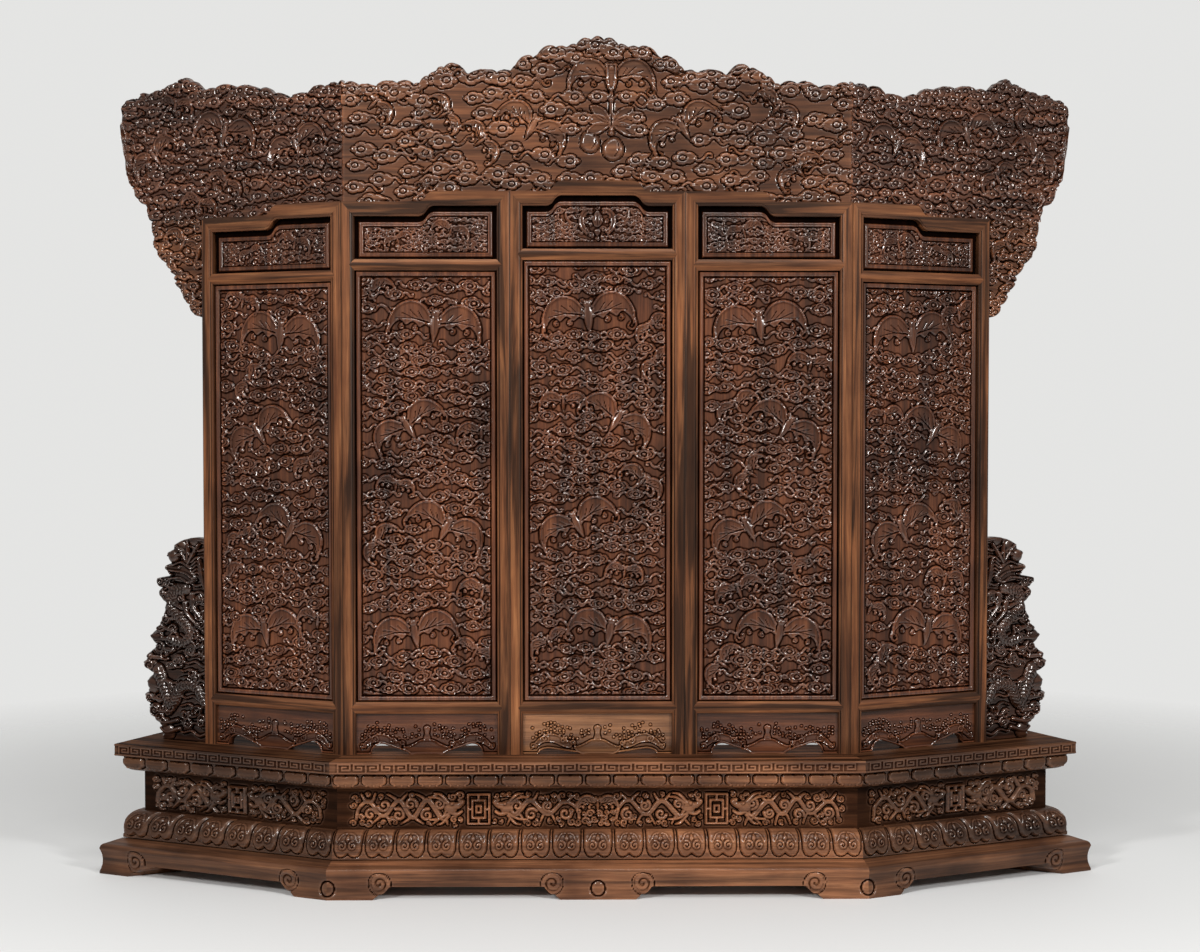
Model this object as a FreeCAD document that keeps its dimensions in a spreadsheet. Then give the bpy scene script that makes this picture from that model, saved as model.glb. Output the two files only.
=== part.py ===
"""Five-leaf standing screen of carved hardwood on a lotus base, in millimetres.

Three leaves stand in line, a wing leaf is turned back at each end, and a three-part crest
rides on their tops. The leaves are framed panels whose stiles stand in mortises of the base,
so crest, leaves and lower spandrels lift off upwards when the screen is taken apart.

Screen frame: X to the right, Y away from the viewer, Z up, origin under the middle of the plan.
Leaf frame: x along the leaf, y from its front face to its back, z up from the top of the base.
Wing frame: the same, with its corner on the front seam between the centre and the wing.
"""
import FreeCAD, Part
import math
import os

import Sketcher
from FreeCAD import Placement, Rotation, Vector

SIZES = (
    # Plan
    ("wing_angle", 25),
    ("centre_leaf_width", 570),
    ("side_leaf_width", 545),
    ("wing_leaf_width", 545),
    ("leaf_thickness", 50),
    ("seam_gap", 0.6),
    # Leaf frame
    ("outer_shoulder", 1766),
    ("step_rise", 34),
    ("step_run", 50),
    ("centre_shoulder", 118),
    ("high_shoulder", 245),
    ("stile_width", 42),
    ("stile_crown", 2.5),
    ("bead_width", 8),
    ("bead_setback", 6),
    ("top_rail_height", 47),
    ("upper_opening", 173),
    ("upper_rail_height", 36),
    ("lower_rail_height", 38),
    ("rail_crown", 5),
    ("rail_point", 16),
    ("point_depth", 14),
    ("apron_height", 134),
    # Joints of the leaf
    ("rail_tenon_length", 26),
    ("rail_tenon_inset", 6),
    ("tenon_thickness", 14),
    ("foot_tenon_inset", 14),
    ("foot_tenon_width", 22),
    ("foot_tenon_thickness", 22),
    ("foot_tenon_length", 32),
    ("tenon_play", 0.4),
    ("key_reach", 13),
    ("key_thickness", 12),
    ("key_length", 80),
    ("low_key_height", 480),
    ("high_key_height", 1280),
    ("lift_travel", 60),
    ("travel_spare", 3),
    # Panels
    ("tongue_depth", 9),
    ("tongue_thickness", 10),
    ("tongue_play", 0.3),
    ("panel_front", 8),
    ("field_sink", 8),
    ("border_width", 22),
    ("bat_reach", 130),
    ("bat_rise", 6),
    ("panel_back", 40),
    ("apron_front", 10),
    ("apron_foot", 50),
    ("apron_heel", 12),
    ("arch_height", 32),
    ("arch_shoulder", 45),
    ("apron_belly", 60),
    ("belly_drop", 6),
    # Crest
    ("crest_rise", 537),
    ("crest_ends", 401),
    ("crest_thickness", 42),
    ("crest_ground", 8),
    ("crest_bat_reach", 120),
    ("crest_gap", 0.3),
    ("wing_crest_reach", 879),
    ("wing_crest_rise", 444),
    ("wing_crest_sill", 764),
    ("peg_width", 16),
    ("peg_thickness", 14),
    ("peg_depth", 25),
    ("peg_inset", 100),
    # Spandrels
    ("upper_spandrel_width", 219),
    ("upper_spandrel_height", 330),
    ("upper_spandrel_thickness", 36),
    ("lower_spandrel_width", 270),
    ("lower_spandrel_height", 690),
    ("lower_spandrel_thickness", 46),
    ("spandrel_tenon_width", 120),
    ("spandrel_tongue_height", 120),
    ("spandrel_tongue_rise", 260),
    ("hanging_tongue_drop", 60),
    # Base
    ("plinth_height", 118),
    ("foot_gap_height", 42),
    ("lotus_height", 84),
    ("waist_height", 138),
    ("cornice_height", 56),
    ("board_thickness", 40),
    ("waist_ledge", 60),
    ("board_overhang", 70),
    ("cornice_overhang", 54),
    ("lotus_overhang", 58),
    ("plinth_overhang", 113),
    ("nose_hollow", 8),
    ("nose_round", 7),
    ("nose_setback", 21),
    ("plinth_lip", 4),
    ("lotus_fillet", 2),
    ("lotus_swell", 13),
    ("lotus_setback", 42),
    ("cornice_swell", 9),
    ("cornice_setback", 34),
    ("ring_thickness", 30),
    ("wing_waist_length", 748),
    ("scroll_radius", 34),
    ("scroll_height", 52),
    ("foot_toe", 17),
    ("centre_foot_reach", 138),
    ("corner_foot_reach", 165),
    ("wing_foot_reach", 138),
    ("end_foot_reach", 136),
    ("bearer_thickness", 30),
    ("bearer_clear", 60),
    ("section_key_length", 120),
    ("section_key_width", 24),
    ("section_key_thickness", 16),
    ("section_key_edge", 90),
)

doc = FreeCAD.newDocument("FiveLeafScreen")
sheet = doc.addObject("Spreadsheet::Sheet", "Sizes")


class Size:
    """A length or angle, as a number and as the expression of sheet cells that gives it."""

    def __init__(self, number, text):
        self.number = number
        self.text = text

    def __add__(self, other):
        return Size(self.number + number_of(other), f"({self.text} + {text_of(other)})")

    def __radd__(self, other):
        return Size(number_of(other) + self.number, f"({text_of(other)} + {self.text})")

    def __sub__(self, other):
        return Size(self.number - number_of(other), f"({self.text} - {text_of(other)})")

    def __rsub__(self, other):
        return Size(number_of(other) - self.number, f"({text_of(other)} - {self.text})")

    def __mul__(self, other):
        return Size(self.number * number_of(other), f"({self.text} * {text_of(other)})")

    __rmul__ = __mul__

    def __truediv__(self, other):
        return Size(self.number / number_of(other), f"({self.text} / {text_of(other)})")

    def __neg__(self):
        return Size(-self.number, f"(0 - {self.text})")


def number_of(value):
    return value.number if isinstance(value, Size) else value


def text_of(value):
    return value.text if isinstance(value, Size) else repr(value)


def sine(angle):
    return Size(math.sin(math.radians(angle.number)), f"sin({angle.text})")


def cosine(angle):
    return Size(math.cos(math.radians(angle.number)), f"cos({angle.text})")


def tangent(angle):
    return Size(math.tan(math.radians(angle.number)), f"tan({angle.text})")


def half_chord(radius, height):
    """Half the width of a circle at a height above its middle."""
    number = math.sqrt(radius.number ** 2 - number_of(height) ** 2)
    return Size(number, f"sqrt({radius.text} ^ 2 - {text_of(height)} ^ 2)")


class Sheet:
    """The sheet's cells, each as a Size."""


for row, (alias, number) in enumerate(SIZES, start=1):
    sheet.set(f"A{row}", alias)
    sheet.set(f"B{row}", str(number))
    sheet.setAlias(f"B{row}", alias)
doc.recompute()
s = Sheet()
for alias, number in SIZES:
    setattr(s, alias, Size(float(sheet.get(alias)), f"Sizes.{alias}"))


# Sizes that follow from the sheet
zero = Size(0.0, "0")
half_angle = s.wing_angle / 2
mitre = tangent(half_angle)
seam_x = s.centre_leaf_width / 2 + s.side_leaf_width
lotus_z = s.plinth_height
waist_z = lotus_z + s.lotus_height
cornice_z = waist_z + s.waist_height
board_z = cornice_z + s.cornice_height
base_height = board_z + s.board_thickness
wing_shoulder = s.outer_shoulder + s.step_rise
side_shoulder = wing_shoulder + s.step_rise
centre_top = side_shoulder + s.step_rise
waist_front = -s.waist_ledge
waist_back = s.leaf_thickness + s.waist_ledge
plinth_front = waist_front - s.plinth_overhang
plinth_back = waist_back + s.plinth_overhang
board_front = waist_front - s.board_overhang
board_back = waist_back + s.board_overhang
plinth_end = s.wing_waist_length + s.plinth_overhang
back_reach = plinth_end * sine(s.wing_angle) + plinth_back * cosine(s.wing_angle)
plan_shift = -(plinth_front + back_reach) / 2
mid_depth = s.leaf_thickness / 2
tongue_front = mid_depth - s.tongue_thickness / 2
apron_top = s.apron_height
main_floor = apron_top + s.lower_rail_height
slot_spare = s.lift_travel + s.travel_spare
far = 4 * s.wing_waist_length

nodes = {}


def bind(thing, **sizes):
    """Tie properties of an object to sheet expressions."""
    for name, size in sizes.items():
        thing.setExpression(name, text_of(size))
    return thing


def put(thing, x=zero, y=zero, z=zero, turn=None):
    """Place an object, turned about the vertical where a turn is given."""
    if turn is not None:
        thing.Placement = Placement(Vector(), Rotation(Vector(0, 0, 1), number_of(turn)))
        thing.setExpression("Placement.Rotation.Angle", text_of(turn))
    thing.setExpression("Placement.Base.x", text_of(x))
    thing.setExpression("Placement.Base.y", text_of(y))
    thing.setExpression("Placement.Base.z", text_of(z))
    return thing


def box(name, x, y, z):
    """A box from three pairs of Sizes, the low and high side along each axis."""
    block = doc.addObject("Part::Box", name)
    bind(block, Length=x[1] - x[0], Width=y[1] - y[0], Height=z[1] - z[0])
    return put(block, x[0], y[0], z[0])


def turned_box(name, middle, half_length, half_width, z, turn):
    """A box about an upright axis, turned in plan."""
    block = doc.addObject("Part::Box", name)
    bind(block, Length=half_length * 2, Width=half_width * 2, Height=z[1] - z[0])
    corner_x = middle[0] - half_length * cosine(turn) + half_width * sine(turn)
    corner_y = middle[1] - half_length * sine(turn) - half_width * cosine(turn)
    return put(block, corner_x, corner_y, z[0], turn)


SKETCH_TURNS = {
    "plan": Rotation(),
    "front": Rotation(Vector(1, 0, 0), 90),
    "section": Rotation(Vector(1, 1, 1), 120),
}
EXTRUDE_WAYS = {"plan": Vector(0, 0, 1), "front": Vector(0, 1, 0), "section": Vector(1, 0, 0)}


def outline(name, plane, path):
    """A closed sketch of corners (u, v), or (u, v, via_u, via_v) where an arc leaves the corner."""
    sketch = doc.addObject("Sketcher::SketchObject", name)
    sketch.Placement = Placement(Vector(), SKETCH_TURNS[plane])
    edges = []
    for index, entry in enumerate(path):
        start = Vector(number_of(entry[0]), number_of(entry[1]), 0)
        following = path[(index + 1) % len(path)]
        end = Vector(number_of(following[0]), number_of(following[1]), 0)
        if len(entry) == 2:
            edge = sketch.addGeometry(Part.LineSegment(start, end))
            edges.append((edge, 1, 2))
            continue
        via = Vector(number_of(entry[2]), number_of(entry[3]), 0)
        arc, forward = arc_through(start, via, end)
        edge = sketch.addGeometry(arc)
        edges.append((edge, 1, 2) if forward else (edge, 2, 1))
        mark = sketch.addGeometry(Part.Point(via), True)
        fix_point(sketch, mark, 1, entry[2], entry[3])
        sketch.addConstraint(Sketcher.Constraint("PointOnObject", mark, 1, edge))
    for index, (edge, start_end, far_end) in enumerate(edges):
        following, next_start, _ = edges[(index + 1) % len(edges)]
        sketch.addConstraint(Sketcher.Constraint("Coincident", edge, far_end, following, next_start))
        fix_point(sketch, edge, start_end, path[index][0], path[index][1])
    return sketch


def arc_through(start, via, end):
    """An anticlockwise arc through three points, and whether it runs from the first of them."""
    bend = Part.Arc(start, via, end).toShape().Curve
    spokes = [point - bend.Center for point in (start, via, end)]
    first, middle, last = (math.atan2(spoke.y, spoke.x) for spoke in spokes)
    forward = (middle - first) % math.tau < (last - first) % math.tau
    circle = Part.Circle(bend.Center, Vector(0, 0, 1), bend.Radius)
    return Part.ArcOfCircle(circle, *((first, last) if forward else (last, first))), forward


def fix_point(sketch, edge, end, across, along):
    """Hold a sketch point at a place given by two Sizes."""
    for kind, size in (("DistanceX", across), ("DistanceY", along)):
        constraint = sketch.addConstraint(Sketcher.Constraint(kind, edge, end, number_of(size)))
        if isinstance(size, Size):
            sketch.setExpression(f"Constraints[{constraint}]", size.text)


def prism(name, plane, path, span):
    """A sketch pulled along its plane's normal between two Sizes."""
    sketch = outline(name + "_outline", plane, path)
    axis = {"plan": "z", "front": "y", "section": "x"}[plane]
    sketch.setExpression(f"Placement.Base.{axis}", text_of(span[0]))
    solid = doc.addObject("Part::Extrusion", name)
    solid.Base = sketch
    solid.DirMode = "Custom"
    solid.Dir = EXTRUDE_WAYS[plane]
    solid.Solid = True
    return bind(solid, LengthFwd=span[1] - span[0])


def cut(name, base, *tools):
    """A solid with other solids taken out of it."""
    for index, tool in enumerate(tools):
        result = doc.addObject("Part::Cut", f"{name}_cut_{index}")
        result.Base = base
        result.Tool = tool
        base = result
    return base


def fuse(name, *parts):
    result = doc.addObject("Part::MultiFuse", name)
    result.Shapes = list(parts)
    result.Refine = True
    return result


def common(name, base, tool):
    result = doc.addObject("Part::Common", name)
    result.Base = base
    result.Tool = tool
    return result


def group(name, parts):
    result = doc.addObject("Part::Compound", name)
    result.Links = list(parts)
    return result


def node(name, solid):
    """Name a finished sub-part."""
    solid.Label = name
    nodes[name] = solid
    return solid


def mirrored(name, source):
    """The left-hand twin of a right-hand sub-part."""
    twin = doc.addObject("Part::Mirroring", name + "_twin")
    twin.Source = source
    twin.Base = Vector(0, 0, 0)
    twin.Normal = Vector(1, 0, 0)
    return node(name, twin)


def in_centre(solid, x=zero, z=zero):
    """Place a solid of the centre section in the screen."""
    return put(solid, x, plan_shift, z)


def in_wing(solid, z=zero):
    """Place a solid of the right wing in the screen."""
    return put(solid, seam_x, plan_shift, z, s.wing_angle)


# Raised bats, the main figures of the carving

# Right half of a bat between its tail and its head, in half spans: (across, up)
BAT_HALF = ((0.16, -0.06), (1.0, -0.14), (0.80, 0.34), (0.40, 0.46), (0.12, 0.18))
BAT_TAIL, BAT_HEAD = -0.34, 0.36


def bat(name, x, z, reach, turn, depth):
    """A bat in flight, seen from above, raised between two depths and turned by some degrees."""
    right = [(0.0, BAT_TAIL), *BAT_HALF, (0.0, BAT_HEAD)]
    left = [(-across, up) for across, up in reversed(BAT_HALF)]
    cos, sin = math.cos(math.radians(turn)), math.sin(math.radians(turn))
    path = []
    for across, up in right + left:
        path.append((x + reach * (across * cos - up * sin), z + reach * (across * sin + up * cos)))
    return prism(name, "front", path, depth)


# Leaf tops

def falling_step(start_x, start_z):
    """Corners of an S-shaped step down to the right, from the end of the high shoulder."""
    mid_x = start_x + s.step_run / 2
    mid_z = start_z - s.step_rise / 2
    bow = s.step_rise / 8
    upper = (start_x, start_z, start_x + s.step_run / 4, start_z - s.step_rise / 4 + bow)
    lower = (mid_x, mid_z, mid_x + s.step_run / 4, mid_z - s.step_rise / 4 - bow)
    return [upper, lower, (start_x + s.step_run, start_z - s.step_rise)]


def reversed_path(path):
    """The same run of corners and arcs, walked the other way."""
    turned = []
    for index in range(len(path) - 1, -1, -1):
        x, z = path[index][0], path[index][1]
        bend = path[index - 1][2:] if index > 0 else ()
        turned.append((x, z) + tuple(bend))
    return turned


def across_middle(path, middle):
    """The same run of corners and arcs, mirrored about an upright line."""
    flipped = []
    for entry in path:
        moved = (2 * middle - entry[0], entry[1])
        if len(entry) == 4:
            moved += (2 * middle - entry[2], entry[3])
        flipped.append(moved)
    return flipped


def top_steps(kind, width, high):
    """The stepped part of a leaf's top edge from left to right, its high part at high."""
    if kind == "falling":
        return falling_step(s.high_shoulder, high)
    right = falling_step(width - s.centre_shoulder - s.step_run, high)
    left = reversed_path(across_middle(right, width / 2))
    return left + right


def straightened(path):
    """The same corners joined by straight lines, for a plain or hidden edge."""
    return [(entry[0], entry[1]) for entry in path]


def moved(path, across, up):
    """The same run of corners and arcs, moved in its plane."""
    result = []
    for entry in path:
        place = (entry[0] + across, entry[1] + up)
        if len(entry) == 4:
            place += (entry[2] + across, entry[3] + up)
        result.append(place)
    return result


def lowered(path, drop):
    return moved(path, zero, -drop)


# Leaves

def stile(name, place, side, height, gap, slope):
    """One upright of a leaf: eased face, a bead along its inner edge, plain back."""
    inner = s.stile_width
    bead = inner - s.bead_width
    ease = 2 * s.stile_crown
    bead_front = s.bead_setback - s.bead_width / 2
    path = [
        (place(gap + slope * s.stile_crown), s.stile_crown),
        (place(gap + ease), zero),
        (place(bead - ease), zero),
        (place(bead), s.stile_crown),
        (place(bead), s.bead_setback),
        (place(bead + s.bead_width / 4), bead_front),
        (place(inner - s.bead_width / 4), bead_front),
        (place(inner), s.bead_setback),
        (place(inner), s.leaf_thickness),
        (place(gap + slope * s.leaf_thickness), s.leaf_thickness),
    ]
    blank = prism(f"{name}_{side}_blank", "plan", path, (zero, height))
    tenon_x = sorted(
        (place(s.foot_tenon_inset), place(s.foot_tenon_inset + s.foot_tenon_width)), key=number_of
    )
    tenon_y = (mid_depth - s.foot_tenon_thickness / 2, mid_depth + s.foot_tenon_thickness / 2)
    tenon = box(f"{name}_{side}_foot_tenon", tenon_x, tenon_y, (-s.foot_tenon_length, zero))
    return fuse(f"{name}_{side}_stile", blank, tenon)


def cross_rail(name, width, floor, height):
    """A rail across a leaf, with pointed shoulders that lap the stiles and a tenon behind them."""
    left = s.stile_width
    right = width - s.stile_width
    top = floor + height
    middle = floor + height / 2
    profile = [
        (s.rail_crown, floor, zero, middle),
        (s.rail_crown, top),
        (s.leaf_thickness, top),
        (s.leaf_thickness, floor),
    ]
    strip = prism(f"{name}_strip", "section", profile, (left - s.rail_point, right + s.rail_point))
    pointed = [
        (left - s.rail_point, middle),
        (left, floor),
        (right, floor),
        (right + s.rail_point, middle),
        (right, top),
        (left, top),
    ]
    point_tool = prism(f"{name}_points", "front", pointed, (-s.point_depth, s.point_depth))
    face = common(f"{name}_face", strip, point_tool)
    behind = box(f"{name}_behind", (left, right), (s.point_depth, s.leaf_thickness), (floor, top))
    tenon = box(
        f"{name}_tenon",
        (left - s.rail_tenon_length, right + s.rail_tenon_length),
        (mid_depth - s.tenon_thickness / 2, mid_depth + s.tenon_thickness / 2),
        (floor + s.rail_tenon_inset, top - s.rail_tenon_inset),
    )
    return fuse(f"{name}_whole", face, behind, tenon), point_tool, tenon


def panel_tools(name, x, z, back):
    """The tongue of a panel and the groove that takes it, round a four-sided opening."""
    depth = s.tongue_depth
    spare = s.tongue_depth + s.tongue_play
    blocks = []
    for part, grow in (("tongue", depth), ("groove", spare)):
        block_x = (x[0] - grow, x[1] + grow)
        block_z = (z[0] - grow, z[1] + grow)
        blocks.append(box(f"{name}_{part}", block_x, (tongue_front, back), block_z))
    return blocks


# Bats on a main panel: (across from its middle, up from its foot, size, turn in degrees)
MAIN_BATS = (
    (-0.06, 0.870, 1.15, 6),
    (0.12, 0.635, 0.95, -32),
    (-0.13, 0.400, 1.00, 26),
    (0.08, 0.155, 1.05, -10),
)


def leaf(name, width, kind, high, left_end, right_end):
    """The six sub-parts of one framed leaf.

    An end is (gap, slope): half the seam's gap, and how fast the edge turns in towards the back.
    """
    sides = (s.stile_width, width - s.stile_width)
    low = high - s.step_rise
    left_top = high if kind == "falling" else low
    right_top = low
    rail_floor = high - s.top_rail_height - s.upper_opening - s.upper_rail_height
    upper_floor = rail_floor + s.upper_rail_height
    tongue_back = tongue_front + s.tongue_thickness
    steps = top_steps(kind, width, high)
    inner_steps = lowered(steps, s.top_rail_height)
    left_inner = left_top - s.top_rail_height
    right_inner = right_top - s.top_rail_height

    # Top rail, mitred into the stiles
    bead_steps = lowered(steps, s.top_rail_height - s.bead_width)
    rail_path = [(zero, left_top)] + steps + [(width, right_top), (sides[1], right_inner)]
    rail_path += reversed_path(inner_steps) + [(sides[0], left_inner)]
    rail = prism(f"{name}_top_rail_blank", "front", rail_path, (zero, s.leaf_thickness))
    tool_y = (-s.leaf_thickness, 2 * s.leaf_thickness)
    rail_tool = prism(f"{name}_mitre_tool", "front", rail_path, tool_y)
    bead_path = [(zero, left_inner + s.bead_width)] + bead_steps
    bead_path += [(width, right_inner + s.bead_width), (width, right_inner)]
    bead_path += reversed_path(inner_steps) + [(zero, left_inner)]
    bead_step = s.bead_setback - s.bead_width / 2
    rebate = prism(f"{name}_top_bead", "front", bead_path, (-s.bead_setback, bead_step))
    plan = [
        (left_end[0], zero),
        (width - right_end[0], zero),
        (width - right_end[0] - right_end[1] * s.leaf_thickness, s.leaf_thickness),
        (left_end[0] + left_end[1] * s.leaf_thickness, s.leaf_thickness),
    ]
    keep = prism(f"{name}_plan", "plan", plan, (zero, 2 * high))
    rail = common(f"{name}_top_rail_trim", cut(f"{name}_top_rail_bead", rail, rebate), keep)
    corner_tenons = []
    for side, place, height in (
        ("left", lambda x: x, left_top),
        ("right", lambda x: width - x, right_top),
    ):
        ends = (place(s.foot_tenon_inset), place(s.foot_tenon_inset + s.tenon_thickness))
        x = sorted(ends, key=number_of)
        y = (mid_depth - s.tenon_thickness / 2, mid_depth + s.tenon_thickness / 2)
        z = (height - 2 * s.top_rail_height, height - s.top_rail_height / 3)
        corner_tenons.append(box(f"{name}_{side}_top_tenon", x, y, z))

    # Panels
    upper_path = [(sides[0], upper_floor), (sides[1], upper_floor), (sides[1], right_inner)]
    upper_path += reversed_path(inner_steps) + [(sides[0], left_inner)]
    upper = {}
    for part, grow in (("tongue", s.tongue_depth), ("groove", s.tongue_depth + s.tongue_play)):
        path = [(sides[0] - grow, upper_floor - grow), (sides[1] + grow, upper_floor - grow)]
        path += [(sides[1] + grow, right_inner + grow)]
        path += reversed_path(straightened(lowered(inner_steps, -grow)))
        path += [(sides[0] - grow, left_inner + grow)]
        upper[part] = prism(f"{name}_upper_{part}", "front", path, (tongue_front, tongue_back))
    upper_block = prism(f"{name}_upper_block", "front", upper_path, (s.panel_front, s.panel_back))
    border = s.border_width
    sink_path = [(sides[0] + border, upper_floor + border), (sides[1] - border, upper_floor + border)]
    sink_path += [(sides[1] - border, right_inner - border)]
    sink_path += reversed_path(straightened(lowered(inner_steps, border)))
    sink_path += [(sides[0] + border, left_inner - border)]
    sink_depth = (zero, s.panel_front + s.field_sink)
    upper_sink = prism(f"{name}_upper_sink", "front", sink_path, sink_depth)
    upper_whole = fuse(f"{name}_upper_whole", upper_block, upper["tongue"])
    upper_panel = cut(f"{name}_upper", upper_whole, upper_sink)

    main_z = (main_floor, rail_floor)
    main_tongue, main_groove = panel_tools(f"{name}_main", sides, main_z, tongue_back)
    main_block = box(f"{name}_main_block", sides, (s.panel_front, s.panel_back), main_z)
    sink_x = (sides[0] + border, sides[1] - border)
    sink_z = (main_floor + border, rail_floor - border)
    main_sink = box(f"{name}_main_sink", sink_x, sink_depth, sink_z)
    main_panel = cut(f"{name}_main", fuse(f"{name}_main_whole", main_block, main_tongue), main_sink)
    bat_depth = (sink_depth[1] - s.bat_rise, tongue_back)
    bats = []
    for index, (across, up, size, turn) in enumerate(MAIN_BATS):
        bat_x = width / 2 + (sides[1] - sides[0]) * across
        bat_z = main_floor + (rail_floor - main_floor) * up
        bats.append(bat(f"{name}_bat_{index}", bat_x, bat_z, s.bat_reach * size, turn, bat_depth))
    main_panel = fuse(f"{name}_main_carved", main_panel, *bats)

    apron_floor = s.apron_height / 3
    apron_z = (apron_floor, apron_top)
    apron_tongue, apron_groove = panel_tools(f"{name}_apron", sides, apron_z, tongue_back)
    apron_y = (s.apron_front, s.panel_back)
    apron_block = prism(f"{name}_apron_block", "front", apron_path(width), apron_y)
    apron = fuse(f"{name}_apron_whole", apron_block, apron_tongue)

    # Cross rails
    grooves = (upper["groove"], main_groove, apron_groove)
    upper_rail, upper_points, upper_tenon = cross_rail(
        f"{name}_upper_rail", width, rail_floor, s.upper_rail_height
    )
    lower_rail, lower_points, lower_tenon = cross_rail(
        f"{name}_lower_rail", width, apron_top, s.lower_rail_height
    )
    upper_rail = cut(f"{name}_upper_rail", upper_rail, upper["groove"], main_groove)
    lower_rail = cut(f"{name}_lower_rail", lower_rail, main_groove, apron_groove)
    rail = cut(f"{name}_top_rail", rail, upper["groove"], *corner_tenons)

    # Stiles
    stiles = []
    for side, place, height, end, tenon in (
        ("left", lambda x: x, left_top, left_end, corner_tenons[0]),
        ("right", lambda x: width - x, right_top, right_end, corner_tenons[1]),
    ):
        upright = stile(name, place, side, height, end[0], end[1])
        tools = (rail_tool, upper_points, lower_points, upper_tenon, lower_tenon) + grooves
        upright = cut(f"{name}_{side}_stile", upright, *tools)
        stiles.append(fuse(f"{name}_{side}_upright", upright, tenon))
    return {
        "stiles": stiles,
        "top_rail": rail,
        "cross_rails": group(f"{name}_rails", (upper_rail, lower_rail)),
        "upper_panel": upper_panel,
        "main_panel": main_panel,
        "apron": apron,
    }


ARCH_FULLNESS = 0.84


def apron_path(width):
    """Front outline of an apron: a foot at each end, an arch beside each, a belly in the middle."""
    left = s.stile_width
    toe = left + s.apron_foot
    crown = toe + s.arch_shoulder
    middle = width / 2
    belly = middle - s.apron_belly
    left_run = [
        (left, zero),
        (toe, zero),
        (toe, s.apron_heel, toe + s.arch_shoulder / 4, s.arch_height * ARCH_FULLNESS),
        (crown, s.arch_height),
        (belly, s.belly_drop),
        (belly + s.belly_drop, zero),
    ]
    right_run = reversed_path(across_middle(left_run, middle))
    return left_run + right_run + [(width - left, apron_top), (left, apron_top)]


def key_boxes(name, middle, turn, play, spare, long_side):
    """Upright keys across a seam, or the slots for them, at the two key heights."""
    keys = []
    for level, height in (("low", s.low_key_height), ("high", s.high_key_height)):
        z = (height - spare, height + s.key_length + spare)
        half_width = s.key_thickness / 2 + play
        keys.append(turned_box(f"{name}_{level}", middle, long_side, half_width, z, turn))
    return keys


square_end = (s.seam_gap / 2, zero)
mitred_end = (s.seam_gap / 2, mitre)
free_end = (zero, zero)
leaf_kinds = {
    "leaf_3": (s.centre_leaf_width, "raised", centre_top, square_end, square_end),
    "leaf_4": (s.side_leaf_width, "falling", side_shoulder, square_end, mitred_end),
    "leaf_5": (s.wing_leaf_width, "falling", wing_shoulder, mitred_end, free_end),
}
leaves = {name: leaf(name, *kind) for name, kind in leaf_kinds.items()}


# Crest

def scaled_path(lobes, width, height, lift):
    """Lobes given as fractions of a width and a height, as corners with arcs."""
    path = []
    for lobe in lobes:
        entry = (width * lobe[0], lift + height * lobe[1])
        if len(lobe) == 4:
            entry += (width * lobe[2], lift + height * lobe[3])
        path.append(entry)
    return path


# Lobes of the crest's right half from the seam to the middle: (across, up, via across, via up)
CENTRE_LOBES = (
    (0.880, 0.708, 0.790, 0.738),
    (0.693, 0.717, 0.675, 0.760),
    (0.633, 0.791, 0.576, 0.838),
    (0.512, 0.791, 0.430, 0.802),
    (0.340, 0.797, 0.307, 0.862),
    (0.235, 0.892, 0.178, 0.950),
    (0.120, 0.933),
)
# Lobes of the right wing's crest from its sill round the outer end to the seam
WING_LOBES = (
    (0.886, 0.050, 0.930, 0.100),
    (0.937, 0.164, 0.975, 0.280),
    (0.977, 0.369, 1.000, 0.600),
    (1.000, 0.800, 0.985, 0.862),
    (0.948, 0.865, 0.910, 0.905),
    (0.867, 0.901, 0.815, 0.935),
    (0.763, 0.962, 0.706, 1.000),
    (0.651, 0.946, 0.628, 0.915),
    (0.606, 0.903, 0.500, 0.925),
    (0.397, 0.896, 0.350, 0.885),
    (0.321, 0.867, 0.245, 0.815),
    (0.126, 0.860),
)
UPPER_SPANDREL_LOBES = (
    (1.000, 0.000, 0.985, -0.100),
    (0.972, -0.182, 0.930, -0.300),
    (0.831, -0.382, 0.740, -0.450),
    (0.598, -0.560, 0.540, -0.660),
    (0.420, -0.761, 0.350, -0.850),
    (0.278, -0.909, 0.160, -0.985),
    (0.000, -1.000),
)
LOWER_SPANDREL_LOBES = (
    (0.726, 0.000),
    (0.752, 0.068, 0.945, 0.160),
    (0.870, 0.322),
    (1.000, 0.368, 0.930, 0.420),
    (0.819, 0.455),
    (0.881, 0.512, 0.770, 0.570),
    (0.637, 0.639, 0.725, 0.720),
    (0.778, 0.799),
    (0.637, 0.812),
    (0.611, 0.930, 0.350, 0.995),
    (0.022, 1.000),
)


def crest_bottom(parts):
    """The lower edge of a crest over the leaves below it, from left to right."""
    run = []
    for across, kind, width, high in parts:
        run += moved(top_steps(kind, width, high), across, s.crest_gap)
    return run


# Bats on the crest: (across the half crest or the wing, up from its foot, size, turn in degrees)
CENTRE_BATS = ((0.054, 0.726, 1.15, 0), (0.337, 0.438, 1.00, 31), (-0.259, 0.438, 1.00, -31))
WING_BATS = ((0.20, 0.42, 0.90, -20), (0.52, 0.55, 1.00, 15), (0.84, 0.40, 0.80, -35))

crest_front = mid_depth - s.crest_thickness / 2
crest_y = (crest_front + s.crest_ground, mid_depth + s.crest_thickness / 2)


def crest_bats(name, places, width, height):
    """The bats of a crest, raised from its ground to its front."""
    bats = []
    for index, (across, up, size, turn) in enumerate(places):
        place = (width * across, wing_shoulder + height * up)
        reach = s.crest_bat_reach * size
        bats.append(bat(f"{name}_bat_{index}", *place, reach, turn, (crest_front, mid_depth)))
    return bats


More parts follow.
